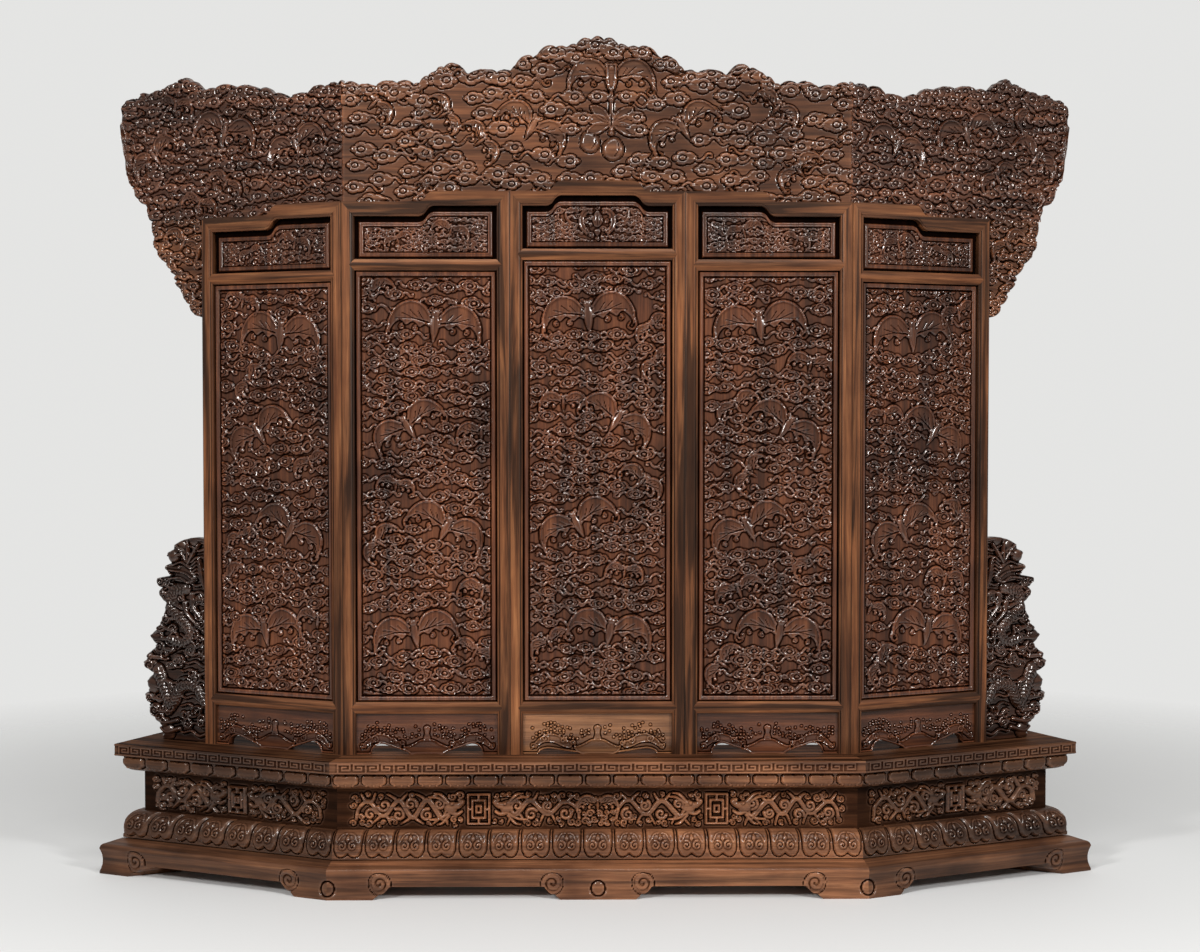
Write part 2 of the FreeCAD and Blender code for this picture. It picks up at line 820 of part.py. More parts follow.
centre_ends = seam_x - s.seam_gap / 2
centre_left = -s.centre_leaf_width / 2
side_run = crest_bottom([(s.centre_leaf_width / 2, "falling", s.side_leaf_width, side_shoulder)])
centre_run = crest_bottom([(centre_left, "raised", s.centre_leaf_width, centre_top)])
bottom_run = reversed_path(across_middle(side_run, zero)) + centre_run + side_run
right_lobes = scaled_path(CENTRE_LOBES, seam_x, s.crest_rise, wing_shoulder)
left_lobes = reversed_path(across_middle(right_lobes, zero))
right_lobes[-1] = right_lobes[-1] + (zero, wing_shoulder + s.crest_rise)
past_seam = seam_x + s.leaf_thickness
end_top = wing_shoulder + s.crest_ends
crest_floor = wing_shoulder + s.crest_gap
crest_path = [(-past_seam, crest_floor)] + bottom_run + [(past_seam, crest_floor)]
crest_path += [(past_seam, end_top)] + right_lobes + left_lobes + [(-past_seam, end_top)]
crest_blank = prism("crest_centre_blank", "front", crest_path, crest_y)
crest_plan = [
    (-centre_ends, zero),
    (centre_ends, zero),
    (centre_ends - mitre * s.leaf_thickness, s.leaf_thickness),
    (-centre_ends + mitre * s.leaf_thickness, s.leaf_thickness),
]
crest_keep = prism("crest_centre_plan", "plan", crest_plan, (zero, 3 * wing_shoulder))
crest_trim = common("crest_centre_trim", crest_blank, crest_keep)
middle_bats = crest_bats("crest_centre", CENTRE_BATS, seam_x, s.crest_rise)
crest_centre = fuse("crest_centre_carved", crest_trim, *middle_bats)

wing_run = crest_bottom([(zero, "falling", s.wing_leaf_width, wing_shoulder)])
wing_sill = s.outer_shoulder + s.crest_gap
wing_lobes = scaled_path(WING_LOBES, s.wing_crest_reach, s.wing_crest_rise, wing_shoulder)
wing_path = [(-s.leaf_thickness, crest_floor)] + wing_run
wing_path += [(s.wing_crest_sill, wing_sill)] + wing_lobes + [(-s.leaf_thickness, end_top)]
wing_blank = prism("crest_right_blank", "front", wing_path, crest_y)
wing_plan = [
    (s.seam_gap / 2, zero),
    (far, zero),
    (far, s.leaf_thickness),
    (s.seam_gap / 2 + mitre * s.leaf_thickness, s.leaf_thickness),
]
wing_keep = prism("crest_right_plan", "plan", wing_plan, (zero, 3 * wing_shoulder))
wing_trim = common("crest_right_trim", wing_blank, wing_keep)
wing_bats = crest_bats("crest_right", WING_BATS, s.wing_crest_reach, s.wing_crest_rise)
crest_right = fuse("crest_right_carved", wing_trim, *wing_bats)


def pegs(name, seats, play):
    """Square pegs standing half in a crest and half in the rails below, or the holes for them."""
    blocks = []
    for index, (x, level) in enumerate(seats):
        half = s.peg_width / 2 + play
        y = (mid_depth - s.peg_thickness / 2 - play, mid_depth + s.peg_thickness / 2 + play)
        z = (level - s.peg_depth - play, level + s.peg_depth)
        blocks.append(box(f"{name}_{index}", (x - half, x + half), y, z))
    return blocks


def falling_seats(across, width, high):
    """Peg places on a leaf with one step: on its high and on its low shoulder."""
    return [(across + s.peg_inset, high), (across + width - s.peg_inset, high - s.step_rise)]


centre_seats = [
    (-s.centre_leaf_width / 2 + s.centre_shoulder / 2, side_shoulder),
    (s.centre_leaf_width / 2 - s.centre_shoulder / 2, side_shoulder),
]
side_seats = falling_seats(s.centre_leaf_width / 2, s.side_leaf_width, side_shoulder)
wing_seats = falling_seats(zero, s.wing_leaf_width, wing_shoulder)
crest_seats = centre_seats + side_seats + [(-x, level) for x, level in side_seats]
side_leaf_seats = falling_seats(zero, s.side_leaf_width, side_shoulder)
centre_pegs = pegs("crest_peg", crest_seats, zero)
wing_pegs = pegs("wing_peg", wing_seats, zero)
crest_centre = cut("crest_centre", crest_centre, *centre_pegs)
crest_right = cut("crest_right", crest_right, *wing_pegs)
peg_holes = {
    "leaf_3": pegs("leaf_3_peg_hole", [(x - centre_left, z) for x, z in centre_seats], s.tenon_play),
    "leaf_4": pegs("leaf_4_peg_hole", side_leaf_seats, s.tenon_play),
    "leaf_5": pegs("leaf_5_peg_hole", wing_seats, s.tenon_play),
}

# Spandrels, in the wing's frame

wing_edge = s.wing_leaf_width
tongue_y = (mid_depth - s.key_thickness / 2, mid_depth + s.key_thickness / 2)
hang_half = s.upper_spandrel_thickness / 2
hang_y = (mid_depth - hang_half, mid_depth + hang_half)
hang_top = s.outer_shoulder - s.crest_gap
hang_size = (s.upper_spandrel_width, s.upper_spandrel_height)
hang_lobes = scaled_path(UPPER_SPANDREL_LOBES, *hang_size, hang_top)
hang_path = [(wing_edge, hang_top)] + moved(hang_lobes, wing_edge, zero)
hang_blank = prism("upper_spandrel_blank", "front", hang_path, hang_y)
hang_tongue_top = s.outer_shoulder - s.hanging_tongue_drop
hang_z = (hang_tongue_top - s.spandrel_tongue_height, hang_tongue_top)
hang_x = (wing_edge - s.key_reach, wing_edge)
hang_tongue = box("upper_spandrel_tongue", hang_x, tongue_y, hang_z)
upper_spandrel = fuse("upper_spandrel_whole", hang_blank, hang_tongue)

stand_edge = wing_edge + s.seam_gap
stand_half = s.lower_spandrel_thickness / 2
stand_y = (mid_depth - stand_half, mid_depth + stand_half)
stand_size = (s.lower_spandrel_width, s.lower_spandrel_height)
stand_lobes = scaled_path(LOWER_SPANDREL_LOBES, *stand_size, zero)
stand_path = [(stand_edge, zero)] + moved(stand_lobes, wing_edge, zero)
stand_path += [(stand_edge, s.lower_spandrel_height)]
stand_blank = prism("lower_spandrel_blank", "front", stand_path, stand_y)
rise_z = (s.spandrel_tongue_rise, s.spandrel_tongue_rise + s.spandrel_tongue_height)
stand_tongue = box("lower_spandrel_tongue", (wing_edge - s.key_reach, stand_edge), tongue_y, rise_z)
stand_foot = wing_edge + s.stile_width
stand_tenon_x = (stand_foot, stand_foot + s.spandrel_tenon_width)
foot_half = s.foot_tenon_thickness / 2
foot_tenon_y = (mid_depth - foot_half, mid_depth + foot_half)
stand_tenon = box("lower_spandrel_tenon", stand_tenon_x, foot_tenon_y, (-s.foot_tenon_length, zero))
lower_spandrel = fuse("lower_spandrel_whole", stand_blank, stand_tongue, stand_tenon)
slot_x = (wing_edge - s.key_reach - s.tenon_play, stand_edge)
slot_y = (tongue_y[0] - s.tenon_play, tongue_y[1] + s.tenon_play)
slot_z = (rise_z[0] - slot_spare, rise_z[1] + slot_spare)
stand_slot = box("lower_spandrel_slot", slot_x, slot_y, slot_z)

# Keys across the seams, and the last cuts in the leaves

seam_34 = (s.centre_leaf_width, mid_depth)
seam_45 = (s.side_leaf_width - mitre * mid_depth, mid_depth)
seam_54 = (mitre * mid_depth, mid_depth)
key_play = s.key_reach + s.tenon_play
keys_3 = key_boxes("leaf_3_key", seam_34, zero, zero, zero, s.key_reach)
keys_3 += key_boxes("leaf_3_left_key", (zero, mid_depth), zero, zero, zero, s.key_reach)
keys_4 = key_boxes("leaf_4_key", seam_45, half_angle, zero, zero, s.key_reach)
slots_4 = key_boxes("leaf_4_slot", (zero, mid_depth), zero, s.tenon_play, s.tenon_play, key_play)
slots_5 = key_boxes("leaf_5_slot", seam_54, -half_angle, s.tenon_play, slot_spare, key_play)
stile_cuts = {
    "leaf_3": (keys_3[2:], keys_3[:2]),
    "leaf_4": (slots_4, keys_4),
    "leaf_5": (slots_5, [stand_slot, hang_tongue]),
}
leaf_places = {
    "leaf_3": lambda solid: in_centre(solid, centre_left, base_height),
    "leaf_4": lambda solid: in_centre(solid, s.centre_leaf_width / 2, base_height),
    "leaf_5": lambda solid: in_wing(solid, base_height),
}
twins = {"leaf_4": "leaf_2", "leaf_5": "leaf_1"}
for name, pieces in leaves.items():
    uprights = []
    for side, upright, tools in zip(("left", "right"), pieces["stiles"], stile_cuts[name]):
        uprights.append(cut(f"{name}_{side}_keyed", upright, *tools))
    pieces["stiles"] = group(f"{name}_stiles", uprights)
    pieces["top_rail"] = cut(f"{name}_pegged", pieces["top_rail"], *peg_holes[name])
    for part, solid in pieces.items():
        node(f"{name}_{part}", leaf_places[name](solid))
        if name in twins:
            mirrored(f"{twins[name]}_{part}", solid)
centre_key_set = group("leaf_3_key_set", keys_3)
side_key_set = group("leaf_4_key_set", keys_4)
centre_peg_set = group("crest_centre_peg_set", centre_pegs)
wing_peg_set = group("wing_peg_set", wing_pegs)
node("leaf_3_keys", leaf_places["leaf_3"](centre_key_set))
mirrored("leaf_2_keys", node("leaf_4_keys", leaf_places["leaf_4"](side_key_set)))
node("crest_centre", in_centre(crest_centre, zero, base_height))
node("crest_centre_pegs", in_centre(centre_peg_set, zero, base_height))
mirrored("crest_left", node("crest_right", in_wing(crest_right, base_height)))
mirrored("crest_left_pegs", node("crest_right_pegs", in_wing(wing_peg_set, base_height)))
mirrored("upper_spandrel_left", node("upper_spandrel_right", in_wing(upper_spandrel, base_height)))
mirrored("lower_spandrel_left", node("lower_spandrel_right", in_wing(lower_spandrel, base_height)))


# Base

def front_of(path):
    """A moulding profile of (outward, z) as a section of the front run."""
    facing = [tuple(-v if i % 2 == 0 else v for i, v in enumerate(entry)) for entry in path]
    return moved(facing, waist_front, zero)


def back_of(path):
    return moved(path, waist_back, zero)


def end_of(path):
    """The same profile on the outer end of the wing, as a front outline."""
    return moved(path, s.wing_waist_length, zero)


# Heights in the mouldings, as fractions of each moulding's own height
NOSE_FLOOR, NOSE_WAIST, NOSE_TOP, NOSE_BEND, NOSE_EDGE = 0.07, 0.38, 0.71, 0.85, 0.91
LOTUS_BAND, LOTUS_FOOT, LOTUS_BEND = 0.14, 0.28, 0.76
CORNICE_BEND, CORNICE_EDGE = 0.2, 0.57

ring_inner = -s.ring_thickness
nose = s.plinth_overhang
lotus_face = s.lotus_overhang - s.lotus_fillet
lotus_band_z = lotus_z + s.lotus_height * LOTUS_BAND
lotus_foot_z = lotus_z + s.lotus_height * LOTUS_FOOT
lotus_bend_z = lotus_z + s.lotus_height * LOTUS_BEND
cornice_foot = s.cornice_overhang - s.cornice_setback
cornice_bend = s.cornice_overhang - s.cornice_swell
PROFILES = {
    "plinth": [
        (ring_inner, zero),
        (nose, zero),
        (nose, s.plinth_height * NOSE_FLOOR, nose - s.nose_hollow, s.plinth_height * NOSE_WAIST),
        (nose, s.plinth_height * NOSE_TOP, nose - s.nose_round, s.plinth_height * NOSE_BEND),
        (nose - s.nose_setback, s.plinth_height * NOSE_EDGE),
        (s.lotus_overhang + s.plinth_lip, s.plinth_height),
        (ring_inner, s.plinth_height),
    ],
    "lotus": [
        (ring_inner, lotus_z),
        (s.lotus_overhang, lotus_z),
        (s.lotus_overhang, lotus_band_z),
        (lotus_face, lotus_band_z),
        (lotus_face, lotus_foot_z, s.lotus_overhang - s.lotus_swell, lotus_bend_z),
        (s.lotus_overhang - s.lotus_setback, waist_z),
        (ring_inner, waist_z),
    ],
    "waist": [(ring_inner, waist_z), (zero, waist_z), (zero, cornice_z), (ring_inner, cornice_z)],
    "cornice": [
        (ring_inner, cornice_z),
        (cornice_foot, cornice_z, cornice_bend, cornice_z + s.cornice_height * CORNICE_BEND),
        (s.cornice_overhang, cornice_z + s.cornice_height * CORNICE_EDGE),
        (s.cornice_overhang, board_z),
        (ring_inner, board_z),
    ],
}

reach = s.plinth_overhang + s.ring_thickness
front_far = waist_front - reach
back_far = waist_back + reach
end_far = s.wing_waist_length + reach
turn_in = s.ring_thickness + s.leaf_thickness / 2
inner_front = waist_front + turn_in
inner_back = waist_back - turn_in
inner_end = s.wing_waist_length - turn_in
base_span = (zero, base_height)


def centre_keep(name, low, high):
    """Plan of the centre section between two depths, cut on the seams' mitre."""
    path = [
        (-seam_x + mitre * low, low),
        (seam_x - mitre * low, low),
        (seam_x - mitre * high, high),
        (-seam_x + mitre * high, high),
    ]
    return prism(name, "plan", path, base_span)


front_keep = [
    (mitre * front_far, front_far),
    (end_far, front_far),
    (inner_end, inner_front),
    (mitre * inner_front, inner_front),
]
back_keep = [
    (mitre * inner_back, inner_back),
    (inner_end, inner_back),
    (end_far, back_far),
    (mitre * back_far, back_far),
]
end_keep = [
    (end_far, front_far),
    (end_far, back_far),
    (inner_end, inner_back),
    (inner_end, inner_front),
]
keeps = {
    "centre_front": centre_keep("centre_front_plan", front_far, inner_front),
    "centre_back": centre_keep("centre_back_plan", inner_back, back_far),
    "wing_front": prism("wing_front_plan", "plan", front_keep, base_span),
    "wing_back": prism("wing_back_plan", "plan", back_keep, base_span),
    "wing_end": prism("wing_end_plan", "plan", end_keep, base_span),
}


def foot_gap(name, left, right, low, high, scrolled):
    """The gap between two feet whose scrolls, or plain chamfers, are centred at left and right."""
    lip = half_chord(s.scroll_radius, s.scroll_height - s.foot_gap_height)
    bend = s.scroll_radius * math.sqrt(0.5)
    scroll_floor = s.scroll_height - s.scroll_radius
    path = [
        (left - s.foot_toe, -s.foot_gap_height),
        (right + s.foot_toe, -s.foot_gap_height),
        (right + s.foot_toe, zero),
        (right, scroll_floor, right - bend, s.scroll_height - bend),
        (right - lip, s.foot_gap_height),
        (left + lip, s.foot_gap_height, left + bend, s.scroll_height - bend),
        (left, scroll_floor),
        (left - s.foot_toe, zero),
    ]
    return prism(name, "front", path if scrolled else straightened(path), (low, high))


front_span = (front_far, inner_front)
back_span = (inner_back, back_far)
corner_scroll = {
    "front": seam_x - mitre * plinth_front - s.corner_foot_reach,
    "back": seam_x - mitre * plinth_back - s.corner_foot_reach,
}
wing_scroll = {
    "front": mitre * plinth_front + s.wing_foot_reach,
    "back": mitre * plinth_back + s.wing_foot_reach,
}
end_scroll = plinth_end - s.end_foot_reach
gaps = {}
for side, span, scrolled in (("front", front_span, True), ("back", back_span, False)):
    near = s.centre_foot_reach
    gaps[f"centre_{side}"] = [
        foot_gap(f"centre_{side}_right_gap", near, corner_scroll[side], *span, scrolled),
        foot_gap(f"centre_{side}_left_gap", -corner_scroll[side], -near, *span, scrolled),
    ]
    wing_gap = foot_gap(f"wing_{side}_gap", wing_scroll[side], end_scroll, *span, scrolled)
    gaps[f"wing_{side}"] = [wing_gap]

for ring, profile in PROFILES.items():
    runs = {
        "centre_front": prism(f"{ring}_centre_front", "section", front_of(profile), (-far, far)),
        "centre_back": prism(f"{ring}_centre_back", "section", back_of(profile), (-far, far)),
        "wing_front": prism(f"{ring}_wing_front", "section", front_of(profile), (-far, far)),
        "wing_back": prism(f"{ring}_wing_back", "section", back_of(profile), (-far, far)),
        "wing_end": prism(f"{ring}_wing_end", "front", end_of(profile), (-far, far)),
    }
    for run, solid in runs.items():
        solid = common(f"{ring}_{run}_run", solid, keeps[run])
        if ring == "plinth":
            solid = cut(f"{ring}_{run}_feet", solid, *gaps.get(run, []))
        runs[run] = solid
    centre = group(f"{ring}_centre_runs", (runs["centre_front"], runs["centre_back"]))
    wing = group(f"{ring}_wing_runs", (runs["wing_front"], runs["wing_back"], runs["wing_end"]))
    node(f"base_centre_{ring}", in_centre(centre))
    mirrored(f"base_left_{ring}", node(f"base_right_{ring}", in_wing(wing)))


# Base boards with their mortises, the keys between them and the bearers under them

def mortise(name, x):
    """A mortise in a base board for a tenon, with play all round."""
    play = s.tenon_play
    y = (foot_tenon_y[0] - play, foot_tenon_y[1] + play)
    z = (base_height - s.foot_tenon_length - play, base_height + s.board_thickness)
    return box(name, (x[0] - play, x[1] + play), y, z)


def leaf_mortises(name, across, width):
    tenon = (s.foot_tenon_inset, s.foot_tenon_inset + s.foot_tenon_width)
    left = mortise(f"{name}_left_mortise", (across + tenon[0], across + tenon[1]))
    right = mortise(f"{name}_right_mortise", (across + width - tenon[1], across + width - tenon[0]))
    return [left, right]


def section_keys(name, centre_of, turn):
    """Loose keys across a seam of the base boards, near their front and back edges."""
    middle_z = board_z + s.board_thickness / 2
    z = (middle_z - s.section_key_thickness / 2, middle_z + s.section_key_thickness / 2)
    half_length = s.section_key_length / 2
    half_width = s.section_key_width / 2
    depths = {"front": board_front + s.section_key_edge, "back": board_back - s.section_key_edge}
    keys = []
    for side, depth in depths.items():
        middle = (centre_of(depth), depth)
        keys.append(turned_box(f"{name}_{side}", middle, half_length, half_width, z, turn))
    return keys


centre_keys = section_keys("centre_key", lambda depth: seam_x - mitre * depth, half_angle)
centre_keys += section_keys("centre_left_key", lambda depth: -seam_x + mitre * depth, -half_angle)
wing_keys = section_keys("wing_key", lambda depth: mitre * depth, -half_angle)
board_span = (board_z, base_height)
centre_board_path = [
    (-seam_x + mitre * board_front, board_front),
    (seam_x - mitre * board_front, board_front),
    (seam_x - mitre * board_back, board_back),
    (-seam_x + mitre * board_back, board_back),
]
centre_board = prism("centre_board", "plan", centre_board_path, board_span)
centre_mortises = leaf_mortises("leaf_3", centre_left, s.centre_leaf_width)
centre_mortises += leaf_mortises("leaf_4", s.centre_leaf_width / 2, s.side_leaf_width)
centre_mortises += leaf_mortises("leaf_2", -seam_x, s.side_leaf_width)
centre_board = cut("centre_board", centre_board, *centre_mortises, *centre_keys)
node("base_centre_top_board", in_centre(centre_board))
board_end = s.wing_waist_length + s.board_overhang
wing_board_path = [
    (mitre * board_front, board_front),
    (board_end, board_front),
    (board_end, board_back),
    (mitre * board_back, board_back),
]
wing_board = prism("wing_board", "plan", wing_board_path, board_span)
wing_mortises = leaf_mortises("leaf_5", zero, s.wing_leaf_width)
wing_mortises.append(mortise("lower_spandrel_mortise", stand_tenon_x))
wing_board = in_wing(cut("wing_board", wing_board, *wing_mortises, *wing_keys))
mirrored("base_left_top_board", node("base_right_top_board", wing_board))
node("base_section_keys", in_centre(group("section_key_set", centre_keys)))

bearer_y = (waist_front + s.ring_thickness, waist_back - s.ring_thickness)
bearer_z = (s.bearer_clear, board_z)


# Bearer places, as fractions of the half section and of the wing
SEAM_BEARER, WING_INNER_BEARER, WING_OUTER_BEARER = 0.8, 0.2, 0.8


def bearer(name, x):
    """An upright cross board inside the base, under the top board."""
    half = s.bearer_thickness / 2
    return box(name, (x - half, x + half), bearer_y, bearer_z)


seam_bearer = seam_x * SEAM_BEARER
leaf_bearer = s.centre_leaf_width / 2
centre_bearers = []
for index, x in enumerate((-seam_bearer, -leaf_bearer, leaf_bearer, seam_bearer)):
    centre_bearers.append(bearer(f"centre_bearer_{index}", x))
wing_bearers = []
for index, fraction in enumerate((WING_INNER_BEARER, WING_OUTER_BEARER)):
    wing_bearers.append(bearer(f"wing_bearer_{index}", s.wing_waist_length * fraction))
right_bearers = in_wing(group("right_bearers", wing_bearers))
left_bearers = doc.addObject("Part::Mirroring", "left_bearers")
left_bearers.Source = right_bearers
left_bearers.Normal = Vector(1, 0, 0)
middle_bearers = in_centre(group("middle_bearers", centre_bearers))
node("base_bearers", group("bearer_set", (middle_bearers, right_bearers, left_bearers)))

doc.recompute()
for thing in doc.Objects:
    if "Invalid" in thing.State or "Error" in thing.State:
        raise RuntimeError(f"{thing.Name} failed: {thing.State} {thing.getStatusString()}")
for name, thing in nodes.items():
    shape = thing.Shape
    if shape.isNull() or not shape.isValid() or not shape.Solids:
        raise RuntimeError(f"{name} has no sound shape")
os.makedirs("parts", exist_ok=True)
for name, thing in nodes.items():
    thing.Shape.exportStep(f"parts/{name}.step")
solid_count = sum(len(thing.Shape.Solids) for thing in nodes.values())
print(f"{len(nodes)} sub-parts, {solid_count} solids")
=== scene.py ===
"""Dresses the five-leaf standing screen in carved, polished hardwood.

Lengths are in metres. Each carved face is a height map in which clouds, bats, waves and scrolls are
raised, and a closed grid follows that map over the place of the CAD piece that it stands for.
A section's frame has x to the viewer's right, y back from the leaf's front face, z up from the base.
"""
import math

import bmesh
import bpy
import numpy as np
from mathutils import Matrix, Vector
from mathutils.bvhtree import BVHTree


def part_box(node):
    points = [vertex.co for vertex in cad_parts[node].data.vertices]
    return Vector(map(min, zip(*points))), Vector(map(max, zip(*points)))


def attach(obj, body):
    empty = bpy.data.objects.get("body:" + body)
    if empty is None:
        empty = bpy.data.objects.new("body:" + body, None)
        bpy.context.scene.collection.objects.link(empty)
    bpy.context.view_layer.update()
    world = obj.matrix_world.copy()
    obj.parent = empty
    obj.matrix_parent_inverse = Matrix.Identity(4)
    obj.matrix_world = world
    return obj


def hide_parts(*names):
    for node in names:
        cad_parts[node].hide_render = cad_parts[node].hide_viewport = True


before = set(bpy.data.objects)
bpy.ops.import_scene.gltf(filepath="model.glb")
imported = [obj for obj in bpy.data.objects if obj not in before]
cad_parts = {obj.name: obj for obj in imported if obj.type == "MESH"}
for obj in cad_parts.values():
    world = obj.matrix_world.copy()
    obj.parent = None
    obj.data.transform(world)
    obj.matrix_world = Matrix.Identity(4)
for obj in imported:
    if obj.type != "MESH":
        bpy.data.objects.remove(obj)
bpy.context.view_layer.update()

# Sizes

WING_TURN = math.radians(25)
MITRE = math.tan(WING_TURN / 2)
SEAM_X = 0.830
SEAM_GAP = 0.0004
TONGUE = 0.009
LEAF_THICKNESS = 0.050
WAIST_FRONT = -0.060
WAIST_BACK = LEAF_THICKNESS + 0.060
WING_WAIST = 0.748
RING_INNER = -0.030
BOARD_OVERHANG = 0.070

leaf_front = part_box("leaf_3_stiles")[0].y
base_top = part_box("base_centre_top_board")[1].z


def section_frame(x, turn):
    return Matrix.Translation((x, leaf_front, base_top)) @ Matrix.Rotation(turn, 4, "Z")


SECTIONS = {
    "left": section_frame(-SEAM_X, -WING_TURN),
    "centre": section_frame(0.0, 0.0),
    "right": section_frame(SEAM_X, WING_TURN),
}
TURNS = {"left": -WING_TURN, "centre": 0.0, "right": WING_TURN}
LEAF_SECTIONS = {1: "left", 2: "centre", 3: "centre", 4: "centre", 5: "right"}


# Places read from the frame

def local_points(node, section):
    """A CAD node's vertices in a section's frame."""
    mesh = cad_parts[node].data
    points = np.empty(len(mesh.vertices) * 3)
    mesh.vertices.foreach_get("co", points)
    inverse = np.array(SECTIONS[section].inverted())
    return points.reshape(-1, 3) @ inverse[:3, :3].T + inverse[:3, 3]


def local_box(node, section):
    points = local_points(node, section)
    return points.min(axis=0), points.max(axis=0)


def local_tree(node, section):
    polygons = [tuple(face.vertices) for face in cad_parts[node].data.polygons]
    return BVHTree.FromPolygons([Vector(p) for p in local_points(node, section)], polygons)


def reach_along(tree, starts, way):
    """How far along a direction each ray from a start first meets a node, or nan."""
    reached = []
    for start in starts:
        hit = tree.ray_cast(Vector(start), Vector(way))
        reached.append(math.nan if hit[3] is None else hit[3])
    return np.array(reached)


def fill_gaps(values):
    """Replace nan by the nearest known values."""
    known = np.isfinite(values)
    places = np.arange(len(values))
    return np.interp(places, places[known], values[known])


FAR = 4.0


def upright_edges(node, section, xs, depth):
    """Lower and upper outline of a node over a row of x places, read at one depth."""
    tree = local_tree(node, section)
    low = reach_along(tree, [(x, depth, -FAR) for x in xs], (0, 0, 1)) - FAR
    high = FAR - reach_along(tree, [(x, depth, FAR) for x in xs], (0, 0, -1))
    return fill_gaps(low), fill_gaps(high)


def side_edge(node, section, zs, depth, way):
    """Outer outline of a node over a column of z places, read at one depth, on its way side."""
    tree = local_tree(node, section)
    reached = reach_along(tree, [(way * FAR, depth, z) for z in zs], (-way, 0, 0))
    return fill_gaps(way * (FAR - reached))


# Height maps

class Relief:
    """A height map of a carved face over x and z, in metres above its ground."""

    # A cell's side, the nearness at which an undercut is full, and how high the ground's shade reaches
    cell = 0.0015
    full_cut = 0.42
    ground_reach = 0.003

    def __init__(self, x, z):
        self.low = (x[0], z[0])
        columns = int(math.ceil((x[1] - x[0]) / self.cell)) + 2
        rows = int(math.ceil((z[1] - z[0]) / self.cell)) + 2
        self.height = np.zeros((rows, columns))
        self.ground_shade = 0.0
        self.gutter = 0.0

    def window(self, low, high):
        """The part of the map between two corners, with the x and z of its cells."""
        first = [int(max(0, math.floor((low[i] - self.low[i]) / self.cell))) for i in (0, 1)]
        limit = (self.height.shape[1], self.height.shape[0])
        last = [int(min(limit[i], math.ceil((high[i] - self.low[i]) / self.cell) + 1)) for i in (0, 1)]
        if first[0] >= last[0] or first[1] >= last[1]:
            return None
        x = self.low[0] + self.cell * np.arange(first[0], last[0])
        z = self.low[1] + self.cell * np.arange(first[1], last[1])
        part = self.height[first[1]:last[1], first[0]:last[0]]
        return part, x[None, :], z[:, None]

    def around(self, x, z, reach):
        return self.window((x - reach, z - reach), (x + reach, z + reach))

    def at(self, x, z, field=None):
        """The map's value at any places, read between its cells."""
        field = self.height if field is None else field
        column = np.clip((x - self.low[0]) / self.cell, 0, field.shape[1] - 1.001)
        row = np.clip((z - self.low[1]) / self.cell, 0, field.shape[0] - 1.001)
        left, below = column.astype(int), row.astype(int)
        across, up = column - left, row - below
        lower = field[below, left] * (1 - across) + field[below, left + 1] * across
        upper = field[below + 1, left] * (1 - across) + field[below + 1, left + 1] * across
        return lower * (1 - up) + upper * up

    def undercut(self, low, depth=0.0045, reach=0.0035):
        """Sink a line into the ground round everything that stands higher than low."""
        raised = (self.height > low).astype(float)
        size = max(1, int(reach / self.cell))
        near = box_blur(box_blur(raised, size, 0), size, 1)
        self.height = self.height - depth * smooth_step(near / self.full_cut) * (1 - raised)

    def cavity(self, reach=0.0045, full=0.0030):
        """How deep each cell lies: 1 in a groove, -1 on a ridge, with painted shade on the low ground added.
        """
        size = max(1, int(reach / self.cell))
        blurred = self.height
        for axis in (0, 1):
            for _ in range(2):
                blurred = box_blur(blurred, size, axis)
        ground = 1 - smooth_step(self.height / self.ground_reach)
        return np.clip((blurred - self.height) / full + self.ground_shade * ground, -1, 1)


def box_blur(field, size, axis):
    width = [(0, 0), (0, 0)]
    width[axis] = (size + 1, size)
    total = np.cumsum(np.pad(field, width, mode="edge"), axis=axis)
    span = 2 * size + 1
    if axis == 0:
        return (total[span:] - total[:-span]) / span
    return (total[:, span:] - total[:, :-span]) / span


def smooth_step(value):
    value = np.clip(value, 0, 1)
    return value * value * (3 - 2 * value)


def smooth_path(points, steps, closed=False):
    """A Catmull-Rom curve through a few points."""
    points = np.asarray(points, float)
    if closed:
        padded = np.vstack([points[-1:], points, points[:2]])
    else:
        padded = np.vstack([2 * points[:1] - points[1:2], points, 2 * points[-1:] - points[-2:-1]])
    t = np.linspace(0, 1, steps, endpoint=False)[:, None]
    runs = []
    for p0, p1, p2, p3 in zip(padded, padded[1:], padded[2:], padded[3:]):
        bend = 2 * p0 - 5 * p1 + 4 * p2 - p3
        twist = 3 * p1 - p0 - 3 * p2 + p3
        runs.append(0.5 * (2 * p1 + (p2 - p0) * t + bend * t ** 2 + twist * t ** 3))
    if not closed:
        runs.append(points[-1:])
    return np.vstack(runs)


def placed(points, x, z, size, turn=0.0, flip=1.0):
    """Unit outline points scaled, mirrored where flip is -1, turned and moved."""
    points = np.asarray(points, float) * (size * flip, size)
    cos, sin = math.cos(turn), math.sin(turn)
    return points @ np.array([[cos, sin], [-sin, cos]]) + (x, z)


def both_sides(half):
    """A whole outline from its right half, which may start or end on the middle line."""
    return list(half) + [(-px, pz) for px, pz in reversed(half) if px]


# Carved motifs

CREASE_WIDTH = 0.3
SCALE_DEPTH = 0.20
NO_LENGTH = 1e-12


def along_step(start, step, x, z):
    """How far along a straight step each place lies, 0 to 1, and its offset from there."""
    length = max(float(step @ step), NO_LENGTH)
    t = np.clip(((x - start[0]) * step[0] + (z - start[1]) * step[1]) / length, 0, 1)
    return t, x - start[0] - t * step[0], z - start[1] - t * step[1]


